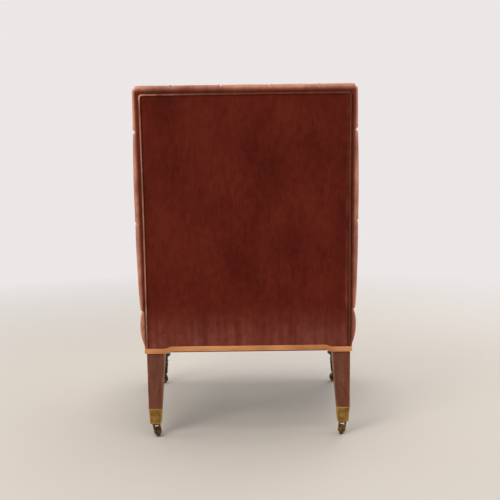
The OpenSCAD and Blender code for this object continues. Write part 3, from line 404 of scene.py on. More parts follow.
cup_brass = old_cast_brass("old cast brass, sockets", "#bd964e", "#886531", 0.36)
# A much darker copy of the brass for the front sockets: painted shade for the dark under the seat.
cup_brass_in_painted_shade = old_cast_brass("old cast brass in painted shade, front sockets", "#6b5431", "#2a2117", 0.4)
castor_places = ["rear_left", "rear_right", "front_left", "front_right"]
screw_height, screw_out = 57.9, {"rear": 15.1, "front": 13.9}
screw_places = []
for place in castor_places:
    brass = cup_brass if place.startswith("rear") else cup_brass_in_painted_shade
    form = softened("castor_cup_" + place, round_off=0.5, wear=2.5)
    cup = finished("castor_socket_" + place, form, brass, "chair")
    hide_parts("castor_cup_" + place)
    low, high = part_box("castor_cup_" + place)
    for side in (-1, 1):
        x = (low.x + high.x) / 2 + side * screw_out[place.split("_")[0]] * mm
        turn = (0.5 + 0.9 * len(screw_places), 0, 0 if side > 0 else math.pi)
        screw_places.append(((x, (low.y + high.y) / 2, screw_height * mm), turn))
screw_head = slotted_head(radius=2.4, height=1.1)
screws = copies("castor_socket_screws", screw_head, screw_places, cup_brass, "chair")
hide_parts("castor_screws")


# Castor horns, axles and wheels
# A cast brass horn turns freely on its pin in the socket and carries a small brass wheel on a riveted
# steel axle. Both are nearly brown with dirt and tarnish, and only the treads are rubbed bright.
def oiled_steel():
    """Grey steel, dull and brown with old oil."""
    made, tree, place = new_material("oiled steel pin")
    stain = pattern(tree, place, (2, 2, 2), Detail=4.0)
    tone = add(tree, "ShaderNodeValToRGB", {"Fac": stain}, stops=[(0.35, "#3c3129"), (0.7, "#77706a")])
    shade(tree, stain, 0.05, Base_Color=tone, Metallic=1.0, Roughness=0.42)
    return made


castor_brass = old_cast_brass("old cast brass, castors", "#8a683a", "#49331d", 0.4)
steel = oiled_steel()
for place in castor_places:
    form = softened("castor_horn_" + place, round_off=0.45, wear=1.2)
    horn = finished("castor_fork_" + place, form, castor_brass, "horn_" + place)
    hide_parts("castor_horn_" + place)
    dress("castor_axle_" + place, steel)
    form = softened("castor_wheel_" + place, round_off=0.3, wear=1.2)
    wheel = finished("castor_roller_" + place, form, castor_brass, "wheel_" + place)
    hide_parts("castor_wheel_" + place)


# Webbing, springs and hessian of the seat
# Jute webbing is strained under the rails and tacked, nine copper washed steel springs are sewn to it,
# and hessian is tied down over them to the rails.
def plain_weave(name, pitch, pale, dark, rise="Y"):
    """Plain weave of round yarns with slubs, a crossing at each pitch in millimetres. One set of yarns
    lies across the chair, and the other along the axis that rise names."""
    made, tree, place = new_material(name)
    weave = dict(Scale=0.314, Distortion=0.6, Detail=1.0)
    yarns = [pattern(tree, place, (pitch,) * 3, "ShaderNodeTexWave", **weave) for _ in range(2)]
    yarns[0].bands_direction, yarns[1].bands_direction = "X", rise
    raised = add(tree, "ShaderNodeMath", {k: yarn.outputs["Fac"] for k, yarn in enumerate(yarns)},
                 operation="MAXIMUM")
    slubs = pattern(tree, place, (6, 6, 6), Detail=4.0)
    both = add(tree, "ShaderNodeMath", {0: raised, 1: slubs}, operation="MULTIPLY")
    tone = add(tree, "ShaderNodeValToRGB", {"Fac": both}, stops=[(0.2, dark), (0.6, pale)])
    shade(tree, raised, 0.5, Base_Color=tone, Roughness=0.9, Sheen_Weight=0.2)
    return made


def spring_wire():
    """Drawn steel wire, copper washed, dull and spotted with rust."""
    made, tree, place = new_material("copper washed spring wire")
    rust = pattern(tree, place, (5, 5, 5), Detail=5.0)
    tone = add(tree, "ShaderNodeValToRGB", {"Fac": rust},
               stops=[(0.38, "#8d6a55"), (0.58, "#6d5245"), (0.68, "#5b2f1c")])
    gloss = add(tree, "ShaderNodeMapRange", {"Value": rust, "To Min": 0.3, "To Max": 0.7})
    shade(tree, rust, 0.1, Base_Color=tone, Metallic=0.85, Roughness=gloss)
    return made


dress("seat_webbing", plain_weave("jute webbing", 2.2, "#b79a6c", "#6f5636"))
dress("webbing_tacks", steel)
dress("seat_springs", spring_wire())
dress("spring_hessian", plain_weave("hessian over the springs", 1.4, "#b1925f", "#5f482b"))


# Stuffing
# Curled horsehair, stitched through the hessian of the seat and the back.
def curled_hair():
    """Dark springy curled hair in a felted mass."""
    made, tree, place = new_material("curled hair")
    curls = pattern(tree, place, (3, 3, 3), Detail=6.0, Roughness=0.7, Distortion=2.5)
    tone = add(tree, "ShaderNodeValToRGB", {"Fac": curls}, stops=[(0.35, "#17110c"), (0.65, "#55412e")])
    shade(tree, curls, 1.5, Base_Color=tone, Roughness=0.7, Sheen_Weight=0.3)
    return made


def remeshed(holder, name, voxel):
    """An object as one closed skin of even faces, of a size in millimetres."""
    even = holder.modifiers.new("even mesh", "REMESH")
    even.mode = "VOXEL"
    even.voxel_size = voxel * mm
    return plain_mesh(holder, name)


def form_of(holder):
    """An object's mesh as a form, in place of the object."""
    form = bmesh.new()
    form.from_mesh(holder.data)
    bpy.data.objects.remove(holder)
    return form


def shrunk(node, name, voxel, draw):
    """A closed pad a little smaller than a CAD piece, with an uneven surface, sizes in millimetres."""
    form = form_of(remeshed(linked(name, mesh_of(merged(node), name)), name, voxel))
    form.normal_update()
    places = [v.co - v.normal * (draw + 1.5 * noise(v.co * 60)) * mm for v in form.verts]
    for vert, place in zip(form.verts, places):
        vert.co = place
    return form


hair = curled_hair()
for name, node, draw in (("seat_hair", "seat_stuffing", 6.5), ("back_hair", "back_stuffing", 3)):
    pad = finished(name, shrunk(node, name, voxel=8, draw=draw), hair, "chair")
    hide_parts(node)
dress("back_webbing", plain_weave("jute webbing of the back", 2.2, "#b79a6c", "#6f5636", "Z"))
dress("back_hessian", plain_weave("hessian of the back", 1.4, "#b1925f", "#5f482b", "Z"))
dress("button_twines", plain_weave("waxed linen twine", 0.6, "#cdbf9c", "#94835d", "Z"))


# Seat cover
# Rust cotton velvet, drawn tight over the stuffing and down the rails, where tacks under the braid
# hold it. The surplus at each front corner is folded into a pleat, and it runs on under the back.
def cotton_velvet(name, deep, lit, paled, streaks, sheen):
    """Cotton velvet: a short dense pile that lies in patches and streaks, lighter where it is rubbed and
    where light is painted. An attribute marks these paler points, and streaks is how strongly the pile is
    brushed up and down. In grazing views the colour is mixed to a pale pink, a painted sheen."""
    made, tree, place = new_material(name)
    patches = pattern(tree, place, (90, 90, 150), Detail=3.0, Distortion=0.3)
    brushed = pattern(tree, place, (6, 6, 70), Detail=5.0, Roughness=0.6)
    mottled = pattern(tree, place, (14, 14, 20), Detail=3.0, Roughness=0.55)
    pile = pattern(tree, place, (0.7, 0.7, 1.1), Detail=2.0)
    shares = ((patches, 0.7), (brushed, streaks), (mottled, 0.4))
    middle = 0.5 * sum(share for _, share in shares)
    lie = 0.0
    for texture, share in shares:
        lie = add(tree, "ShaderNodeMath", {0: texture, 1: share, 2: lie}, operation="MULTIPLY_ADD")
    tone = add(tree, "ShaderNodeValToRGB", {"Fac": lie},
               stops=[(middle - 0.17, deep), (min(1.0, middle + 0.17), lit)])
    uneven = add(tree, "ShaderNodeMapRange",
                 {"Value": mottled, "From Min": 0.3, "From Max": 0.7, "To Min": 0.75, "To Max": 1.2})
    # The marked paler points are wear in some places and painted light in others.
    mark = add(tree, "ShaderNodeAttribute", attribute_name="paled")
    rubbed = add(tree, "ShaderNodeMath", {0: mark.outputs["Fac"], 1: uneven}, operation="MULTIPLY",
                 use_clamp=True)
    colour = add(tree, "ShaderNodeMix", {"Factor": rubbed, "A": tone, "B": paled}, data_type="RGBA")
    # Painted sheen: in grazing views the colour is mixed towards a pale pink, more where the pile lies
    # upright.
    upright = add(tree, "ShaderNodeMapRange", {
        "Value": lie, "From Min": middle - 0.2, "From Max": middle + 0.2,
        "To Min": 0.5 * sheen, "To Max": sheen})
    facing = add(tree, "ShaderNodeLayerWeight", {"Blend": 0.5})
    painted_sheen_share = add(tree, "ShaderNodeMapRange",
                   {"Value": facing.outputs["Facing"], "From Min": 0.3, "From Max": 0.95, "To Max": upright})
    painted_sheen = add(tree, "ShaderNodeMix", {"Factor": painted_sheen_share, "A": colour, "B": "#d8937b"}, data_type="RGBA")
    shade(tree, pile, 0.25, Base_Color=painted_sheen, Roughness=0.85, Specular_IOR_Level=0.1, Sheen_Weight=0.4 * sheen,
          Sheen_Roughness=0.2, Sheen_Tint="#ffc2a6")
    return made


rear_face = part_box("back_rail")[1].y
half_front, half_rear, depth = 269, 247, 494
rake = math.radians(9)
out_of_back = Vector((0, math.cos(rake), -math.sin(rake)))


def raked(z):
    """How far the plane of the outside back lies behind the seat frame at a height, in millimetres."""
    return (z - frame_bottom) * math.tan(rake)


def placed(points):
    """Points in millimetres from the middle of the seat frame's rear face, in the chair's own place."""
    return np.asarray(points, float) * mm + [0, rear_face, 0]


def measured(points):
    """Points of the chair in millimetres from the middle of the seat frame's rear face."""
    return np.array(points) / mm - [0, rear_face / mm, 0]


def eased(knots, values, t):
    """Smooth curve through values at the knots. Each value may be an array."""
    knots, values = np.asarray(knots, float), np.asarray(values, float)
    slopes = np.gradient(values, knots, axis=0)
    k = int(min(len(knots) - 2, max(0, np.searchsorted(knots, t) - 1)))
    h = knots[k + 1] - knots[k]
    u = (t - knots[k]) / h
    return ((2 * u**3 - 3 * u**2 + 1) * values[k] + (u**3 - 2 * u**2 + u) * h * slopes[k]
            + (3 * u**2 - 2 * u**3) * values[k + 1] + (u**3 - u**2) * h * slopes[k + 1])


def blurred(x, low, high):
    """0 below low, 1 above high and a smooth rise between them."""
    t = np.clip((np.asarray(x, float) - low) / (high - low), 0, 1)
    return t * t * (3 - 2 * t)


def hump(away, reach):
    """1 at the middle of a smooth rise, and almost 0 at twice its reach."""
    return np.exp(-((away / reach) ** 2))


def seat_outline(out, rear_y):
    """Plan outline of the seat frame moved outwards, round to the rear, in millimetres."""
    corner = 14
    front = [(x, -depth - out) for x in np.linspace(0, half_front - corner, 24, endpoint=False)]
    arc = [(half_front - corner + (corner + out) * math.cos(a), corner - depth + (corner + out) * math.sin(a))
           for a in np.radians(np.linspace(-90, 0, 9))]
    side = [(half_rear + (half_front - half_rear) * -y / depth + out, y)
            for y in np.linspace(corner - depth, rear_y, 44)[1:]]
    right = front + arc + side
    return np.array(right + [(-x, y) for x, y in right[:0:-1]])


def lofted(form, rings):
    """Skins a list of rings of points from the bottom up, with a cap at each end."""
    made = [[form.verts.new(p) for p in ring] for ring in rings]
    for low, high in zip(made, made[1:]):
        for k in range(len(low)):
            n = (k + 1) % len(low)
            form.faces.new((low[k], low[n], high[n], high[k]))
    form.faces.new(made[0][::-1])
    form.faces.new(made[-1])


def points_of(mesh):
    """A mesh's points as an array."""
    flat = np.empty(len(mesh.vertices) * 3)
    mesh.vertices.foreach_get("co", flat)
    return flat.reshape(-1, 3)


def stuffed(holder, held):
    """Fills a skin like stuffing with Blender's cloth, and gives its new points. The held points stay, and
    none moves further than a few millimetres."""
    frames, limit = 20, 5 * mm
    start = points_of(holder.data)
    group = holder.vertex_groups.new(name="held")
    group.add([int(k) for k in np.nonzero(held)[0]], 1.0, "REPLACE")
    cloth = holder.modifiers.new("stuffing", "CLOTH")
    for name, value in dict(quality=5, mass=0.3, tension_stiffness=15, compression_stiffness=15,
                            shear_stiffness=5, bending_stiffness=0.5, vertex_group_mass="held",
                            use_pressure=True, uniform_pressure_force=4.0).items():
        setattr(cloth.settings, name, value)
    cloth.settings.effector_weights.gravity = 0
    cloth.collision_settings.use_collision = False
    cloth.point_cache.frame_start, cloth.point_cache.frame_end = 1, frames
    for number in range(1, frames + 1):
        bpy.context.scene.frame_set(number)
    graph = bpy.context.evaluated_depsgraph_get()
    moved = points_of(holder.evaluated_get(graph).data) - start
    bpy.context.scene.frame_set(1)
    holder.modifiers.remove(cloth)
    far = np.linalg.norm(moved, axis=1)
    return start + moved * (limit * np.tanh(far / limit) / np.maximum(far, 1e-9))[:, None]


def walled(piece, thickness):
    """Gives a sheet its thickness in millimetres, inwards from its outer face."""
    wall = piece.modifiers.new("thickness", "SOLIDIFY")
    wall.thickness = thickness * mm
    wall.offset = -1


velvet = cotton_velvet("cotton velvet, seat and buttoned back", "#5a1d11", "#7d3421", "#d9987f", 0.25, 1.0)
cover_low, seat_edge, seat_crown, back_reach = 208, 310, 380, 102.4
cloth_out, side_belly, hip_belly, run_under = 3, 8, 4.5, 12
heights = [0, 0.13, 0.28, 0.53, 0.8, 1]
swells = [0, 0.2, 0.7, 1, 0.9, 0.5]
side_rings = []
for t in np.linspace(-0.15, 1, 24):
    z = cover_low + (seat_edge - cover_low) * t
    slack = 1.5 * blurred(z, 222, 250)
    swell = float(eased(heights, swells, max(t, 0)))
    ring = seat_outline(cloth_out + side_belly * swell - slack, raked(z) + run_under)
    ring[:, 0] += np.sign(ring[:, 0]) * hip_belly * swell * blurred(ring[:, 1], -330, -60)
    side_rings.append(placed(np.column_stack([ring, np.full(len(ring), z - (slack if t == 1 else 0))])))
crown_draw, crown_out = 44, 5.5
crown_in = [0, -0.08, -0.04, 0.1, 0.32, 0.8, 1.7, 3, 4.4]
crown_up = [0, 0.22, 0.45, 0.62, 0.74, 0.85, 0.93, 0.98, 1]
half_seat = (depth + raked(seat_edge) - back_reach) / 2
middle = half_seat - depth
crown_rings = []
for t in np.linspace(0, 8, 33):
    z = seat_edge + (seat_crown - seat_edge) * float(eased(range(9), crown_up, t)) - (12 if t == 0 else 0)
    z -= 2 * blurred(t, 1.5, 3)
    ring = seat_outline(crown_out, raked(seat_edge) - back_reach)
    draw = crown_draw * float(eased(range(9), crown_in, t))
    ring[:, 0] *= 1 - draw / half_front
    ring[:, 1] = middle + (ring[:, 1] - middle) * (1 - draw / half_seat)
    ring[:, 1] = np.minimum(ring[:, 1], raked(z) - back_reach - 0.6)
    crown_rings.append(placed(np.column_stack([ring, np.full(len(ring), z)])))
form = bmesh.new()
lofted(form, side_rings)
lofted(form, crown_rings)
holder = remeshed(linked("seat skin", mesh_of(form, "seat skin")), "seat skin", 6.7)
at = measured(points_of(holder.data))
under_low, under_high = 296, 316
under_back = (at[:, 1] > raked(at[:, 2]) - back_reach - 4) & (at[:, 2] > under_low)
filled = stuffed(holder, (at[:, 2] < 222) | under_back)
holder.data.vertices.foreach_set("co", filled.ravel())
finer = holder.modifiers.new("finer", "SUBSURF")
finer.levels = finer.render_levels = 1
form = form_of(plain_mesh(holder, "seat skin"))
sliced(form, placed((0, 0, cover_low + 0.4)), (0, 0, -1))
sliced(form, placed((0, 0, frame_bottom)), out_of_back)
hidden = []
for face in form.faces:
    x, y, z = measured(face.calc_center_median())
    behind = y > raked(z) - back_reach + 3
    if under_low < z < under_high and behind and abs(x) < half_rear and face.normal.z > 0.6:
        hidden.append(face)
bmesh.ops.delete(form, geom=hidden, context="FACES")
paled = form.verts.layers.float.new("paled")
panel_half, tuck_reach = 249, 14
pleat_x, pleat_y, pleat_depth, pleat_lip = 255, -480, 3.2, 1.3
for vert in form.verts:
    x, y, z = measured(vert.co)
    for side in (-1, 1):
        along = ((side * x - pleat_x) - (y - pleat_y)) / math.sqrt(2)
        across = ((side * x - pleat_x) + (y - pleat_y)) / math.sqrt(2)
        if along > -30 and abs(across) < 30:
            fold = pleat_depth * hump(across, 2.4) - pleat_lip * hump(across - 7, 4)
            fold *= float(blurred(along, -30, 5) * blurred(z, 219, 232))
            vert.co -= Vector((side, -1, 0)).normalized() * fold * mm
    to_panel = max(0.0, raked(z) - y)
    if to_panel < tuck_reach and abs(x) > panel_half:
        tuck_in = 1 - math.sqrt(max(0.0, 1 - (1 - to_panel / tuck_reach) ** 2))
        vert.co.x -= math.copysign((abs(x) - panel_half) * tuck_in * mm, x)
    # Paler marks: wear on the rolled top edge, and painted light on the sides next to the back, which
    # lightens cloth lying in the back's shade.
    roll = float(blurred(z, 318, 352))
    beside = 0.5 * float(blurred(abs(x), 245, 256) * blurred(y, -160, -10))
    vert[paled] = max(0.0, max(0.4 * roll, beside) * (0.7 + 0.7 * noise(vert.co * 9)) + 0.08)
seat = finished("seat_velvet", form, velvet, "chair")
walled(seat, 1.6)
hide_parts("seat_cover")


# Bottom canvas
# Black glazed cotton, tacked under the rails to keep the dust in. It has sagged a little between them.
sag, sag_reach, cut_pitch = 5, 130, 12
form = merged("bottom_canvas")
bmesh.ops.delete(form, geom=[f for f in form.faces if f.normal.z > -0.9], context="FACES")
bmesh.ops.dissolve_limit(form, angle_limit=0.02, verts=form.verts, edges=form.edges)
for normal, low, high in (((1, 0, 0), -264, 264), ((0, 1, 0), -492, 0)):
    for cut in range(low, high, cut_pitch):
        sliced(form, placed([np.array(normal) * cut])[0], normal, False)
for vert in form.verts:
    x, y, z = measured(vert.co)
    inward = min(1, max(0, min(240 - abs(x), -y - 8, y + 484) / sag_reach))
    vert.co.z -= (sag * math.sin(inward * math.pi / 2) + inward * noise(vert.co * 25)) * mm
cloth = finished("bottom_cloth", form, plain_weave("black glazed cotton", 0.6, "#34312d", "#13110f"), "chair")
walled(cloth, 0.6)
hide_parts("bottom_canvas")


# Buttoned back
# The same velvet over the second stuffing, drawn in by covered buttons in four rows. The surplus lies
# in folds from button to button, which lap downwards, and in pleats over the top and the sides.
button_pitch, button_rise, top_row = 111, 213, 739
back_low, back_top, rim_top = 310.3, 845, 826.2
face_out, fold_depth, button_sink, lap_hang = 117, 24, 9, 4.2
side_reach, wall_x, wall_belly, side_draw_in, top_draw_in = 257.5, 260, 6.5, 4, 3.8
buttons = [((c - (3 - k % 2) / 2) * button_pitch, top_row - k * button_rise / 2)
           for k in range(4) for c in range(4 - k % 2)]


def wave(t):
    """0 at each whole t and 1 between."""
    return np.abs(np.sin(np.pi * t))


def between_buttons(x, z):
    """How many columns outside the outer buttons, and rows above the top ones, a point lies."""
    return (np.abs(x) - button_pitch * 1.5) / button_pitch, (z - top_row) / button_rise


def fullness(x, z):
    """0 on a fold or a pleat and 1 on the crown between them."""
    i, j = between_buttons(x, z)
    inside = np.sqrt(wave(i + j) * wave(i - j))
    beside = wave(j) ** (1 - 0.5 * np.clip(i * 1.5, 0, 1))
    above = wave(i) ** (1 - 0.5 * np.clip(j * 2.4, 0, 1))
    outside = np.where(j > 0, np.sqrt(wave(i) * wave(j)), beside)
    return np.where(i > 0, outside, np.where(j > 0, above, inside))


def pleat(t):
    """Depth in millimetres of the sharp pleat at each whole t, with the raised fold beside it."""
    off = (t - np.round(t)) * button_pitch
    return 2.2 * hump(off, 1.9) - 0.9 * hump(off - 4.5, 2)


def near_button(x, z, reach, sharpness):
    """1 at a button and 0 well outside its reach, in millimetres."""
    return sum(np.exp(-((np.hypot(x - bx, z - bz) / reach) ** sharpness)) for bx, bz in buttons)


def lapped(x, z):
    """How far the cloth hangs down over the fold below it, in millimetres."""
    i, j = between_buttons(x, z)
    below = [np.where(i > 0, j % 1, (i + j) % 1), np.where(i > 0, j % 1, (j - i) % 1)]
    hang = np.maximum(*[rise * button_rise / 6 * np.exp(1 - rise * button_rise / 6) for rise in below])
    shown = blurred(-j * button_rise, 0, 10) * blurred(z, 390, 420)
    return lap_hang * hang * shown * (1 - near_button(x, z, 17, 4))


def pillows(x, z):
    """Points of the buttoned face in millimetres: across, out from the raked plane, and up."""
    full = fullness(x, z) * (1 - near_button(x, z, 12, 4))
    sink = button_sink * near_button(x, z, 11.5, 6)
    for bx, bz in buttons:
        r, turn = np.hypot(x - bx, z - bz), np.arctan2(z - bz, x - bx)
        sink += 0.7 * (np.sin(9 * turn + bx) + 0.6 * np.sin(5 * turn + bz)) * hump(r - 19, 8)
    loose = [noise(Vector((a / 70, b / 70, 3))) for a, b in zip(x.ravel(), z.ravel())]
    out = face_out - fold_depth * (1 - full) - sink + 2 * np.reshape(loose, x.shape) * full
    out = back_reach + (out - back_reach) * blurred(z, 380, 420)
    edge = np.clip(np.minimum(x.max() - np.abs(x), z.max() - z) / 34, 0, 1)
    out -= np.maximum(out - back_reach, -4) * (1 - edge) ** 2.2
    return np.stack([x, out, z - lapped(x, z)], axis=-1)


def upright_x(z):
    """Half the width over the uprights, which taper upwards, in millimetres."""
    return half_rear - 6 * (z - frame_bottom) / 620


def edge_x(z):
    """Half the width of the outside back, whose seam draws the covers in, in millimetres."""
    return upright_x(z) - 1.4 - 1.2 * np.sin(np.pi * np.clip((z - 210) / 610, 0, 1))


def wall_points(rim, count, turn):
    """Rings of the top and side walls, from the tacked edge forward to the rim of the face. The turn is
    how far a point of the rim looks upwards, in degrees."""
    side, x, z = np.sign(rim[:, 0]), np.abs(rim[:, 0]), rim[:, 2]
    wide, high = np.cos(np.radians(turn)) ** 0.55, np.sin(np.radians(turn)) ** 0.55
    wide[turn > 89], high[turn < 1] = 0, 0
    level = np.clip(z, back_low, back_top)
    belly = wall_belly * np.sin(np.pi * ((level - back_low) / (back_top - back_low)) ** 0.7)
    belly += 1.2 * (1 - blurred(z, 330, 420))
    crease = 3 * hump(turn - 45, 9)
    beside, buttoned = wall_x + 0 * z, blurred(z, 380, 420)
    side_draw = side_draw_in * (1 - fullness(beside, z) ** 0.3) * buttoned
    top_draw = top_draw_in * (1 - fullness(x, back_top + 0 * z) ** 0.3)
    tack_x = edge_x(z) + 3
    side_pleat = pleat(between_buttons(wall_x, z)[1]) * buttoned
    top_pleat = pleat(between_buttons(x, back_top)[0])
    rings = []
    knots = [0, 0.06, 0.13, 0.23, 0.38, 0.612, 0.799, 1]
    for swell, share in ((0, 0.015), (0.2, 0.005), (0.5, -0.01), (0.9, 0.065), (1, 0.32), (1, 0.6),
                         (0.62, 0.79)):
        reach = tack_x + (side_reach + belly - side_draw - crease - tack_x) * swell
        reach -= side_pleat * min(1, 3 * swell)
        lift = rim_top + (back_top - top_draw - crease - rim_top) * swell - top_pleat * min(1, 3 * swell)
        hang = lapped(beside, z) * (turn < 1) * swell
        rings.append(np.stack([side * (x + (reach - x) * wide), face_out * share + 0 * z,
                               z - hang + (lift - z) * high], axis=-1))
    rings.append(rim)
    return np.array([eased(knots, rings, k / count) for k in range(count)])


def back_skin(fine):
    """The cover's outer skin on a grid that follows the folds, at a fineness of 1 or 2, and how far each
    place of its rim is along it."""
    across = np.arange(-68 * fine, 68 * fine + 1) * button_pitch / 32 / fine
    risen = np.arange(-64 * fine, 12 * fine + 1) * button_rise / 32 / fine
    up = np.concatenate([[back_low], top_row + risen])
    face = pillows(*np.meshgrid(across, up))
    last, top = len(across) - 1, len(up) - 1
    turns = np.linspace(0, 90, 6 * fine + 1)[1:-1]
    route = [(j, last, 0) for j in range(top + 1)] + [(top, last, a) for a in turns]
    route += [(top, i, 90) for i in range(last - 1, 0, -1)]
    route += [(top, 0, a) for a in turns[::-1]] + [(j, 0, 0) for j in range(top, -1, -1)]
    rows, columns = np.array([r for r, _, _ in route]), np.array([c for _, c, _ in route])
    turn = np.array([a for _, _, a in route], float)
    walls = wall_points(face[rows, columns], 12 * fine, turn)
    over = np.where(turn > 89, 1, 0) * (across.max() - across[columns])
    along = np.where(columns == 0, 2900 - up[rows] + (90 - turn) / 3, up[rows] + turn / 3 + over)
    return across, up, face, walls, rows, columns, along


def skin_faces(across, up, walls, rows, columns):
    """Faces of the skin over its points, walls first. Each cell of the face is halved along its fold."""
    count, around = walls.shape[:2]
    width = len(across)
    base = count * around
    rings = [np.arange(around) + k * around for k in range(count)] + [base + rows * width + columns]
    faces = []
    for low, high in zip(rings, rings[1:]):
        for s in range(around - 1):
            corners = [low[s], high[s], high[s + 1], low[s + 1]]
            faces.append([int(c) for k, c in enumerate(corners) if c != corners[k - 1]])
    for j in range(len(up) - 1):
        for i in range(width - 1):
            a, b = between_buttons((across[i] + across[i + 1]) / 2, (up[j] + up[j + 1]) / 2)
            rising = (wave(a - b) < wave(a + b)) == (across[i] + across[i + 1] > 0)
            p = base + j * width + i
            q, r, s = p + 1, p + width + 1, p + width
            faces += [(p, r, q), (p, s, r)] if rising else [(p, s, q), (q, s, r)]
    return faces


def on_back(points):
    """Points given across, out from the raked plane, and up, in the chair's own place."""
    x, out, z = np.moveaxis(np.asarray(points, float), -1, 0)
    return placed(np.stack([x, raked(z) - out, z], axis=-1))


def listed(*grids):
    """The points of several grids in one list."""
    return np.concatenate([grid.reshape(-1, 3) for grid in grids])


def matched(values, old_rows, new_rows, old_columns, new_columns):
    """Values on a coarse grid read at a finer one."""
    tall = np.stack([[np.interp(new_rows, old_rows, values[:, c, k]) for c in range(values.shape[1])]
                     for k in range(3)], axis=-1)
    return np.stack([[np.interp(new_columns, old_columns, tall[:, r, k]) for r in range(tall.shape[1])]
                     for k in range(3)], axis=-1)


across, up, face, walls, rows, columns, along = back_skin(1)
coarse = bpy.data.meshes.new("back skin")
flat = listed(walls, face)
coarse.from_pydata(on_back(flat), [], skin_faces(across, up, walls, rows, columns))
holder = linked("back skin", coarse)
x, out, z = flat.T
held = (out < 12) | (z < 388) | (near_button(x, z, 15, 6) > 0.5)
held |= (fullness(x, z) < 0.32) & (out > 60)
wall_moves, face_moves = np.split(stuffed(holder, held) - on_back(flat), [walls.size // 3])
bpy.data.objects.remove(holder)
face_moves = face_moves.reshape(face.shape)
wall_moves = np.concatenate([wall_moves.reshape(walls.shape), face_moves[rows, columns][None]])
coarse_across, coarse_up, coarse_along = across, up, along
across, up, face, walls, rows, columns, along = back_skin(2)
wall_moves = matched(wall_moves, np.linspace(0, 1, 13), np.linspace(0, 1, 25)[:-1], coarse_along, along)
face_moves = matched(face_moves, coarse_up, up, coarse_across, across)
form = bmesh.new()
paled = form.verts.layers.float.new("paled")
verts = [form.verts.new(p) for p in listed(on_back(walls) + wall_moves, on_back(face) + face_moves)]
for corners in skin_faces(across, up, walls, rows, columns):
    form.faces.new([verts[c] for c in corners])
count, around = walls.shape[:2]
base = count * around
ends = ((-1, back_low), (-1, 822.5), (1, 822.5), (1, back_low))
tuck = [form.verts.new(p) for p in on_back([(side * (upright_x(z) + 0.5), out, z)
                                            for out in (1.755, 78) for side, z in ends])]
form.faces.new(verts[:around] + tuck[:4])
form.faces.new(verts[0:base:around] + verts[base : base + len(across)][::-1]
               + verts[around - 1 : base : around][::-1] + [tuck[0], tuck[4], tuck[7], tuck[3]])
form.faces.new(tuck[4:])
for k in range(3):
    form.faces.new((tuck[k], tuck[k + 1], tuck[k + 5], tuck[k + 4]))
bmesh.ops.recalc_face_normals(form, faces=form.faces)
x, out, z = listed(walls, face).T
full = fullness(x, z) * (1 - near_button(x, z, 12, 4))
# Paler marks: wear on the crowns of the buttoned face, and painted highlight along the top strip and the side
# walls near the back edge, for the light and sheen that catch them.
outer = blurred(z, 828, 841) + 1.1 * blurred(np.abs(x), 249, 255)
rubbed = 0.4 * blurred(full, 0.55, 1) * blurred(out, 55, 100) + 0.82 * blurred(-out, -90, -10) * outer
for vert, share in zip(verts, rubbed):
    vert[paled] = float(share) * (0.75 + 0.6 * noise(vert.co * 18)) + 0.05
back = finished("back_velvet", form, velvet, "chair")
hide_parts("back_cover")


# Covered buttons
# Domed metal moulds covered with the same velvet, drawn in with waxed twine knotted behind the webbing.
button_radius, button_rim, button_dome, button_out = 9, 2.6, 3.4, 83.5
form = bmesh.new()
dome = [(button_radius * math.cos(a), button_rim + button_dome * math.sin(a))
        for a in np.radians(np.linspace(87, 0, 9))]
turned(form, dome + [(8.7, 1.2), (7.6, 0.2)], Vector(), 32)
for vert in form.verts:
    angle = math.atan2(vert.co.y, vert.co.x)
    vert.co.z += 0.12 * mm * math.sin(11 * angle) * min(1, vert.co.xy.length / (7 * mm))
mould = mesh_of(form, "button")
mould.shade_smooth()
seats = [(tuple(on_back([(x, button_out, z)])[0]), (math.pi / 2 + rake, 0, 0)) for x, z in buttons]
made = copies("back_button_domes", linked("button", mould), seats, velvet, "chair")
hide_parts("back_buttons")


# Outside back
# A plain panel of deeper, less faded velvet, slipped over wadding and sewn blind behind the piping. Its
# pile lies in soft patches and short streaks, and it is paler towards the bottom and along the hem at one
# side.
pipe_top, pipe_turn, pipe_half = rim_top - 3.1, 7, 2.7
panel_top, panel_turn = pipe_top - pipe_half, pipe_turn - pipe_half
panel_out, edge_dip = 2.45, 1.3
panel_velvet = cotton_velvet("cotton velvet, outside back", "#581a0f", "#71281b", "#9c594c", 0.4, 0.5)
form = bmesh.new()
paled = form.verts.layers.float.new("paled")
heights = np.concatenate([np.linspace(cover_low + 0.2, panel_top - panel_turn, 150),
                          panel_top - panel_turn * (1 - np.sin(np.radians(np.linspace(15, 90, 6))))])
grid = []
for z in heights:
    rise = max(0, z - (panel_top - panel_turn))
    half = edge_x(min(z, panel_top)) - 2.8 - panel_turn + math.sqrt(max(0, panel_turn**2 - rise**2))
    line = []
    for x in half * np.sin(np.radians(np.linspace(-90, 90, 131))):
        edge = min(half - abs(x), panel_top - z)
        ripple = 0.35 * noise(Vector((x / 60, z / 190, 1))) + 0.12 * noise(Vector((x / 12, z / 60, 5)))
        y = raked(z) + panel_out + ripple - edge_dip * hump(edge, 2.6)
        line.append(form.verts.new(placed([(x, y, z)])[0]))
    grid.append(line)
for low, high in zip(grid, grid[1:]):
    for k in range(len(low) - 1):
        form.faces.new((low[k + 1], low[k], high[k], high[k + 1]))
# The panel is made paler towards the bottom, and in a narrow band along the hem at one side.
for line, z in zip(grid, heights):
    for vert in line:
        brushed = noise(Vector((vert.co.x * 90, 0, vert.co.z * 6)))
        low_down = float(blurred(-z, -330, -215)) * (0.55 + 0.5 * brushed)
        x, _, up = np.array(vert.co) / mm
        hem = 0.5 * hump(x + 237, 4) * (0.6 + noise(Vector((1, 0, up / 45))))
        vert[paled] = max(0.0, low_down * 0.8, hem)
panel = finished("outside_back_velvet", form, panel_velvet, "chair")
walled(panel, 1.8)
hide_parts("outside_back")


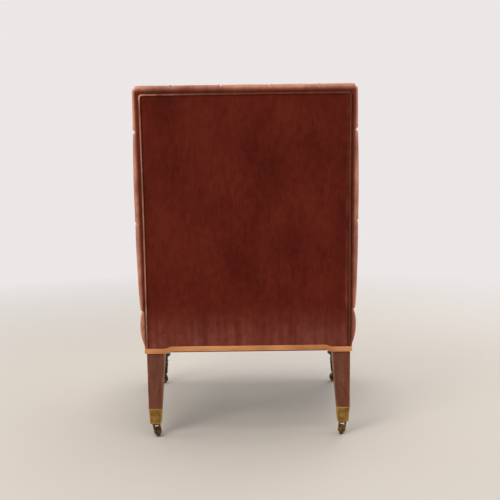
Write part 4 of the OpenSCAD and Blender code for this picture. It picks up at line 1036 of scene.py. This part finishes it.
# Piping
# A cotton cord sewn into a bias strip of the cover's velvet, tacked round the sides and the top of the
# outside back. The pile is rubbed off its crown, which is paler; down the side towards the window lamp
# the paler crown is also a painted highlight, and a pale patch sits at the top corner on that side.
def carried(form, path, section, closed=False):
    """Carries a section along a path. The path holds (point, outward, up), and the section holds
    (outward, up) in millimetres."""
    bridged(form, [[form.verts.new(point + (outward * a + rise * b) * mm) for a, b in section]
                   for point, outward, rise in path], closed)
    bmesh.ops.recalc_face_normals(form, faces=form.faces)


def oval(wide, high, steps, middle=(0, 0)):
    """Points of an oval section, in millimetres."""
    return [(middle[0] + wide * math.cos(a), middle[1] + high * math.sin(a))
            for a in np.radians(np.arange(0, 360, 360 // steps))]


piping_velvet = cotton_velvet("cotton velvet, piping", "#561c10", "#712e1d", "#dd9c80", 0.1, 0.15)
pipe_low, seam_in = 214.9, 0.1
seam = edge_x(pipe_top) - seam_in - pipe_turn
straight = [(edge_x(z) - seam_in, z) for z in np.linspace(pipe_low, pipe_top - pipe_turn, 180)]
corner = [(seam + pipe_turn * math.cos(a), pipe_top - pipe_turn + pipe_turn * math.sin(a))
          for a in np.radians(np.linspace(10, 90, 9))]
half_top = [(x, pipe_top) for x in np.linspace(corner[-1][0], 0, 70)[1:]]
right = straight + corner + half_top
around = right + [(-x, z) for x, z in right[-2::-1]]
line = [Vector(p) for p in on_back([(x, -pipe_half, z) for x, z in around])]
path = []
for k, point in enumerate(line):
    along = (line[min(k + 1, len(line) - 1)] - line[max(k - 1, 0)]).normalized()
    wander = 0.12 * noise(point * 45)
    path.append((point + out_of_back * wander * mm, out_of_back, out_of_back.cross(along)))
form = bmesh.new()
carried(form, path, oval(2.4, 2.3, 12))
paled = form.verts.layers.float.new("paled")
for vert in form.verts:
    x, y, z = measured(vert.co)
    crown = float(blurred(y - raked(z), 4.3, 5.1))
    # Painted highlight: the crown is made paler down the side towards the window lamp.
    window = 0.9 if x > 200 else 0.15 if x < -200 else 0.1 + 0.4 * max(0, x) / 200
    top_corner = 0.7 * hump(x - 243, 12) * hump(z - 819, 9)
    vert[paled] = crown * window * (0.75 + 0.5 * noise(vert.co * 30)) + top_corner
piping = finished("back_piping_cord", form, piping_velvet, "chair")
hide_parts("back_piping")


# Gimp
# A flat golden braid, two edge cords with a scroll of thinner cord between them, glued and pinned over
# the tacks of the covers. It steps down over the tops of the legs.
def viscose_gimp():
    """Golden brown viscose cord with a soft shine, faded in patches."""
    made, tree, place = new_material("golden viscose gimp")
    age = pattern(tree, place, (110, 110, 60), Detail=2.0)
    thread = pattern(tree, place, (1.3, 1.3, 0.9), Detail=2.0)
    both = add(tree, "ShaderNodeMath", {0: thread, 1: 0.6, 2: age}, operation="MULTIPLY_ADD")
    tone = add(tree, "ShaderNodeValToRGB", {"Fac": both},
               stops=[(0.6, "#d0854a"), (0.8, "#eea565"), (1.0, "#fac084")])
    shade(tree, thread, 0.2, Base_Color=tone, Roughness=0.55, Sheen_Weight=0.3, Sheen_Roughness=0.4)
    return made


step_up, step_run, gimp_height, gimp_out = 5, 18, 12.5, 3.1
front_step, rear_step, side_front_step, side_rear_step = 225, 203, -450, -44


def gimp_lift(x, y):
    """How far the braid is raised between the legs, in millimetres."""
    if y < -480:
        inward = front_step - abs(x)
    elif y > -2:
        inward = rear_step - abs(x)
    else:
        inward = min(y - side_front_step, side_rear_step - y)
    return step_up * float(blurred(inward, 0, step_run))


gimp_top = frame_bottom + step_up + gimp_height
corners = [tuple(p) for p in seat_outline(gimp_out, raked(gimp_top) + pipe_half)]
line, step_length = [], 2.5
for k, (x, y) in enumerate(corners):
    x2, y2 = corners[(k + 1) % len(corners)]
    steps = max(1, round(math.hypot(x2 - x, y2 - y) / step_length))
    line += [Vector((x + (x2 - x) * n / steps, y + (y2 - y) * n / steps)) for n in range(steps)]
path = []
for k, point in enumerate(line):
    along = (line[(k + 1) % len(line)] - line[k - 1]).normalized()
    foot = Vector(placed([(point.x, point.y, frame_bottom + gimp_lift(*point))])[0])
    path.append((foot, Vector((along.y, -along.x, 0)), Vector((0, 0, 1))))
form = bmesh.new()
carried(form, path, [(0, 0.6), (0.7, 0.6), (0.9, 6), (0.7, 11.9), (0, 11.9)], closed=True)
for middle in (1.0, 11.5):
    carried(form, path, oval(0.85, 0.95, 6, (0.75, middle)), closed=True)
golden = viscose_gimp()
tape = finished("gimp_tape", form, golden, "chair")
scroll_pitch, scroll_rise = 5, 3.6
forward = Vector((0, 1, 0))
form = bmesh.new()
for way in (1, -1):
    track = []
    for t in np.linspace(0, 1, 11):
        turn = 2 * math.pi * t
        up = gimp_height / 2 + way * scroll_rise * math.sin(turn)
        point = Vector(((t - 0.5) * scroll_pitch, 0.75 + 0.35 * way * math.cos(turn), up))
        slope = Vector((scroll_pitch, 0, way * scroll_rise * 2 * math.pi * math.cos(turn))).normalized()
        track.append((point * mm, forward, forward.cross(slope)))
    carried(form, track, oval(0.55, 0.75, 5))
scroll = mesh_of(form, "scroll")
scroll.shade_smooth()
gone, due, spots = 0.0, 0.0, []
for k, (point, outward, _) in enumerate(path):
    ahead = path[(k + 1) % len(path)][0]
    step = (ahead - point).length / mm
    while due < gone + step:
        facing = math.atan2(outward.y, outward.x) - math.pi / 2
        spots.append((tuple(point.lerp(ahead, (due - gone) / step)), (0, 0, facing)))
        due += scroll_pitch
    gone += step
scrolls = copies("gimp_scrolls", linked("scroll", scroll), spots, golden, "chair")
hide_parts("gimp_braid")


# Stage
# A plain pale floor that fades out round the chair, soft daylight from the upper left and behind the
# camera, light off the pale walls at each side, and the camera at the photograph's place.
def pale_floor():
    """A matt pale floor whose edge fades into the background."""
    made, tree, place = new_material("pale floor")
    reach = add(tree, "ShaderNodeVectorMath", {0: place}, operation="LENGTH")
    fade = add(tree, "ShaderNodeMapRange", {"Value": reach.outputs["Value"], "From Min": 0.9, "From Max": 2.3,
                                            "To Min": 1.0, "To Max": 0.0})
    shader = add(tree, "ShaderNodeBsdfPrincipled", {"Base Color": "#d9d2c9", "Roughness": 0.8, "Alpha": fade})
    add(tree, "ShaderNodeOutputMaterial", {"Surface": shader})
    return made


form = bmesh.new()
bmesh.ops.create_circle(form, cap_ends=True, radius=2.4, segments=64)
floor = linked("floor", mesh_of(form, "floor"))
floor.data.materials.append(pale_floor())
floor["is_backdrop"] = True

world = bpy.data.worlds.new("studio")
bpy.context.scene.world = world
world.use_nodes = True
sky = world.node_tree
sky.nodes.clear()
rays = add(sky, "ShaderNodeLightPath")
shown = {0: rays.outputs["Is Camera Ray"], 1: rays.outputs["Is Glossy Ray"]}
seen = add(sky, "ShaderNodeMath", shown, operation="MAXIMUM")
wall = add(sky, "ShaderNodeBackground", {"Color": "#ebe7e6", "Strength": 1.0})
fill = add(sky, "ShaderNodeBackground", {"Color": "#f2f0ee", "Strength": 0.42})
mixed = add(sky, "ShaderNodeMixShader", {0: seen, 1: fill, 2: wall})
add(sky, "ShaderNodeOutputWorld", {"Surface": mixed})


def lamp(name, place, aim, size, power, colour):
    """A soft square light that points at a place."""
    light = bpy.data.lights.new(name, "AREA")
    light.size = size
    light.energy = power
    light.color = linear(colour)[:3]
    made = linked(name, light)
    made.location = place
    made.rotation_euler = (Vector(aim) - Vector(place)).to_track_quat("-Z", "Y").to_euler()


lamp("window", (1.9, 2.6, 2.3), (0, 0, 0.4), 1.8, 42, "#fffaf2")
lamp("overhead", (0, 0.2, 2.9), (0, 0, 0), 2.2, 30, "#ffffff")
lamp("front fill", (-1.6, -2.4, 1.7), (0, 0, 0.4), 2.0, 22, "#fffdfa")
for side, power in ((1, 19), (-1, 22)):
    lamp("light off the wall", (side * 2.7, -0.1, 1.1), (0, 0, 0.55), 1.8, power, "#fffaf8")

camera_aside, camera_distance, camera_height = -0.0068, 2.8127, 0.82
looks_down, roll = 8.02, 0.75
focal_pixels, picture_pixels = 1100, 500
camera = linked("camera", bpy.data.cameras.new("camera"))
camera.data.sensor_width = 36
camera.data.lens = 36 * focal_pixels / picture_pixels
camera.location = (camera_aside, camera_distance, camera_height)
camera.rotation_euler = (
    Matrix.Rotation(math.pi, 3, "Z")
    @ Matrix.Rotation(math.radians(90 - looks_down), 3, "X")
    @ Matrix.Rotation(math.radians(-roll), 3, "Z")
).to_euler()
bpy.context.scene.camera = camera
bpy.context.scene.view_settings.view_transform = "Standard"

low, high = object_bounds()
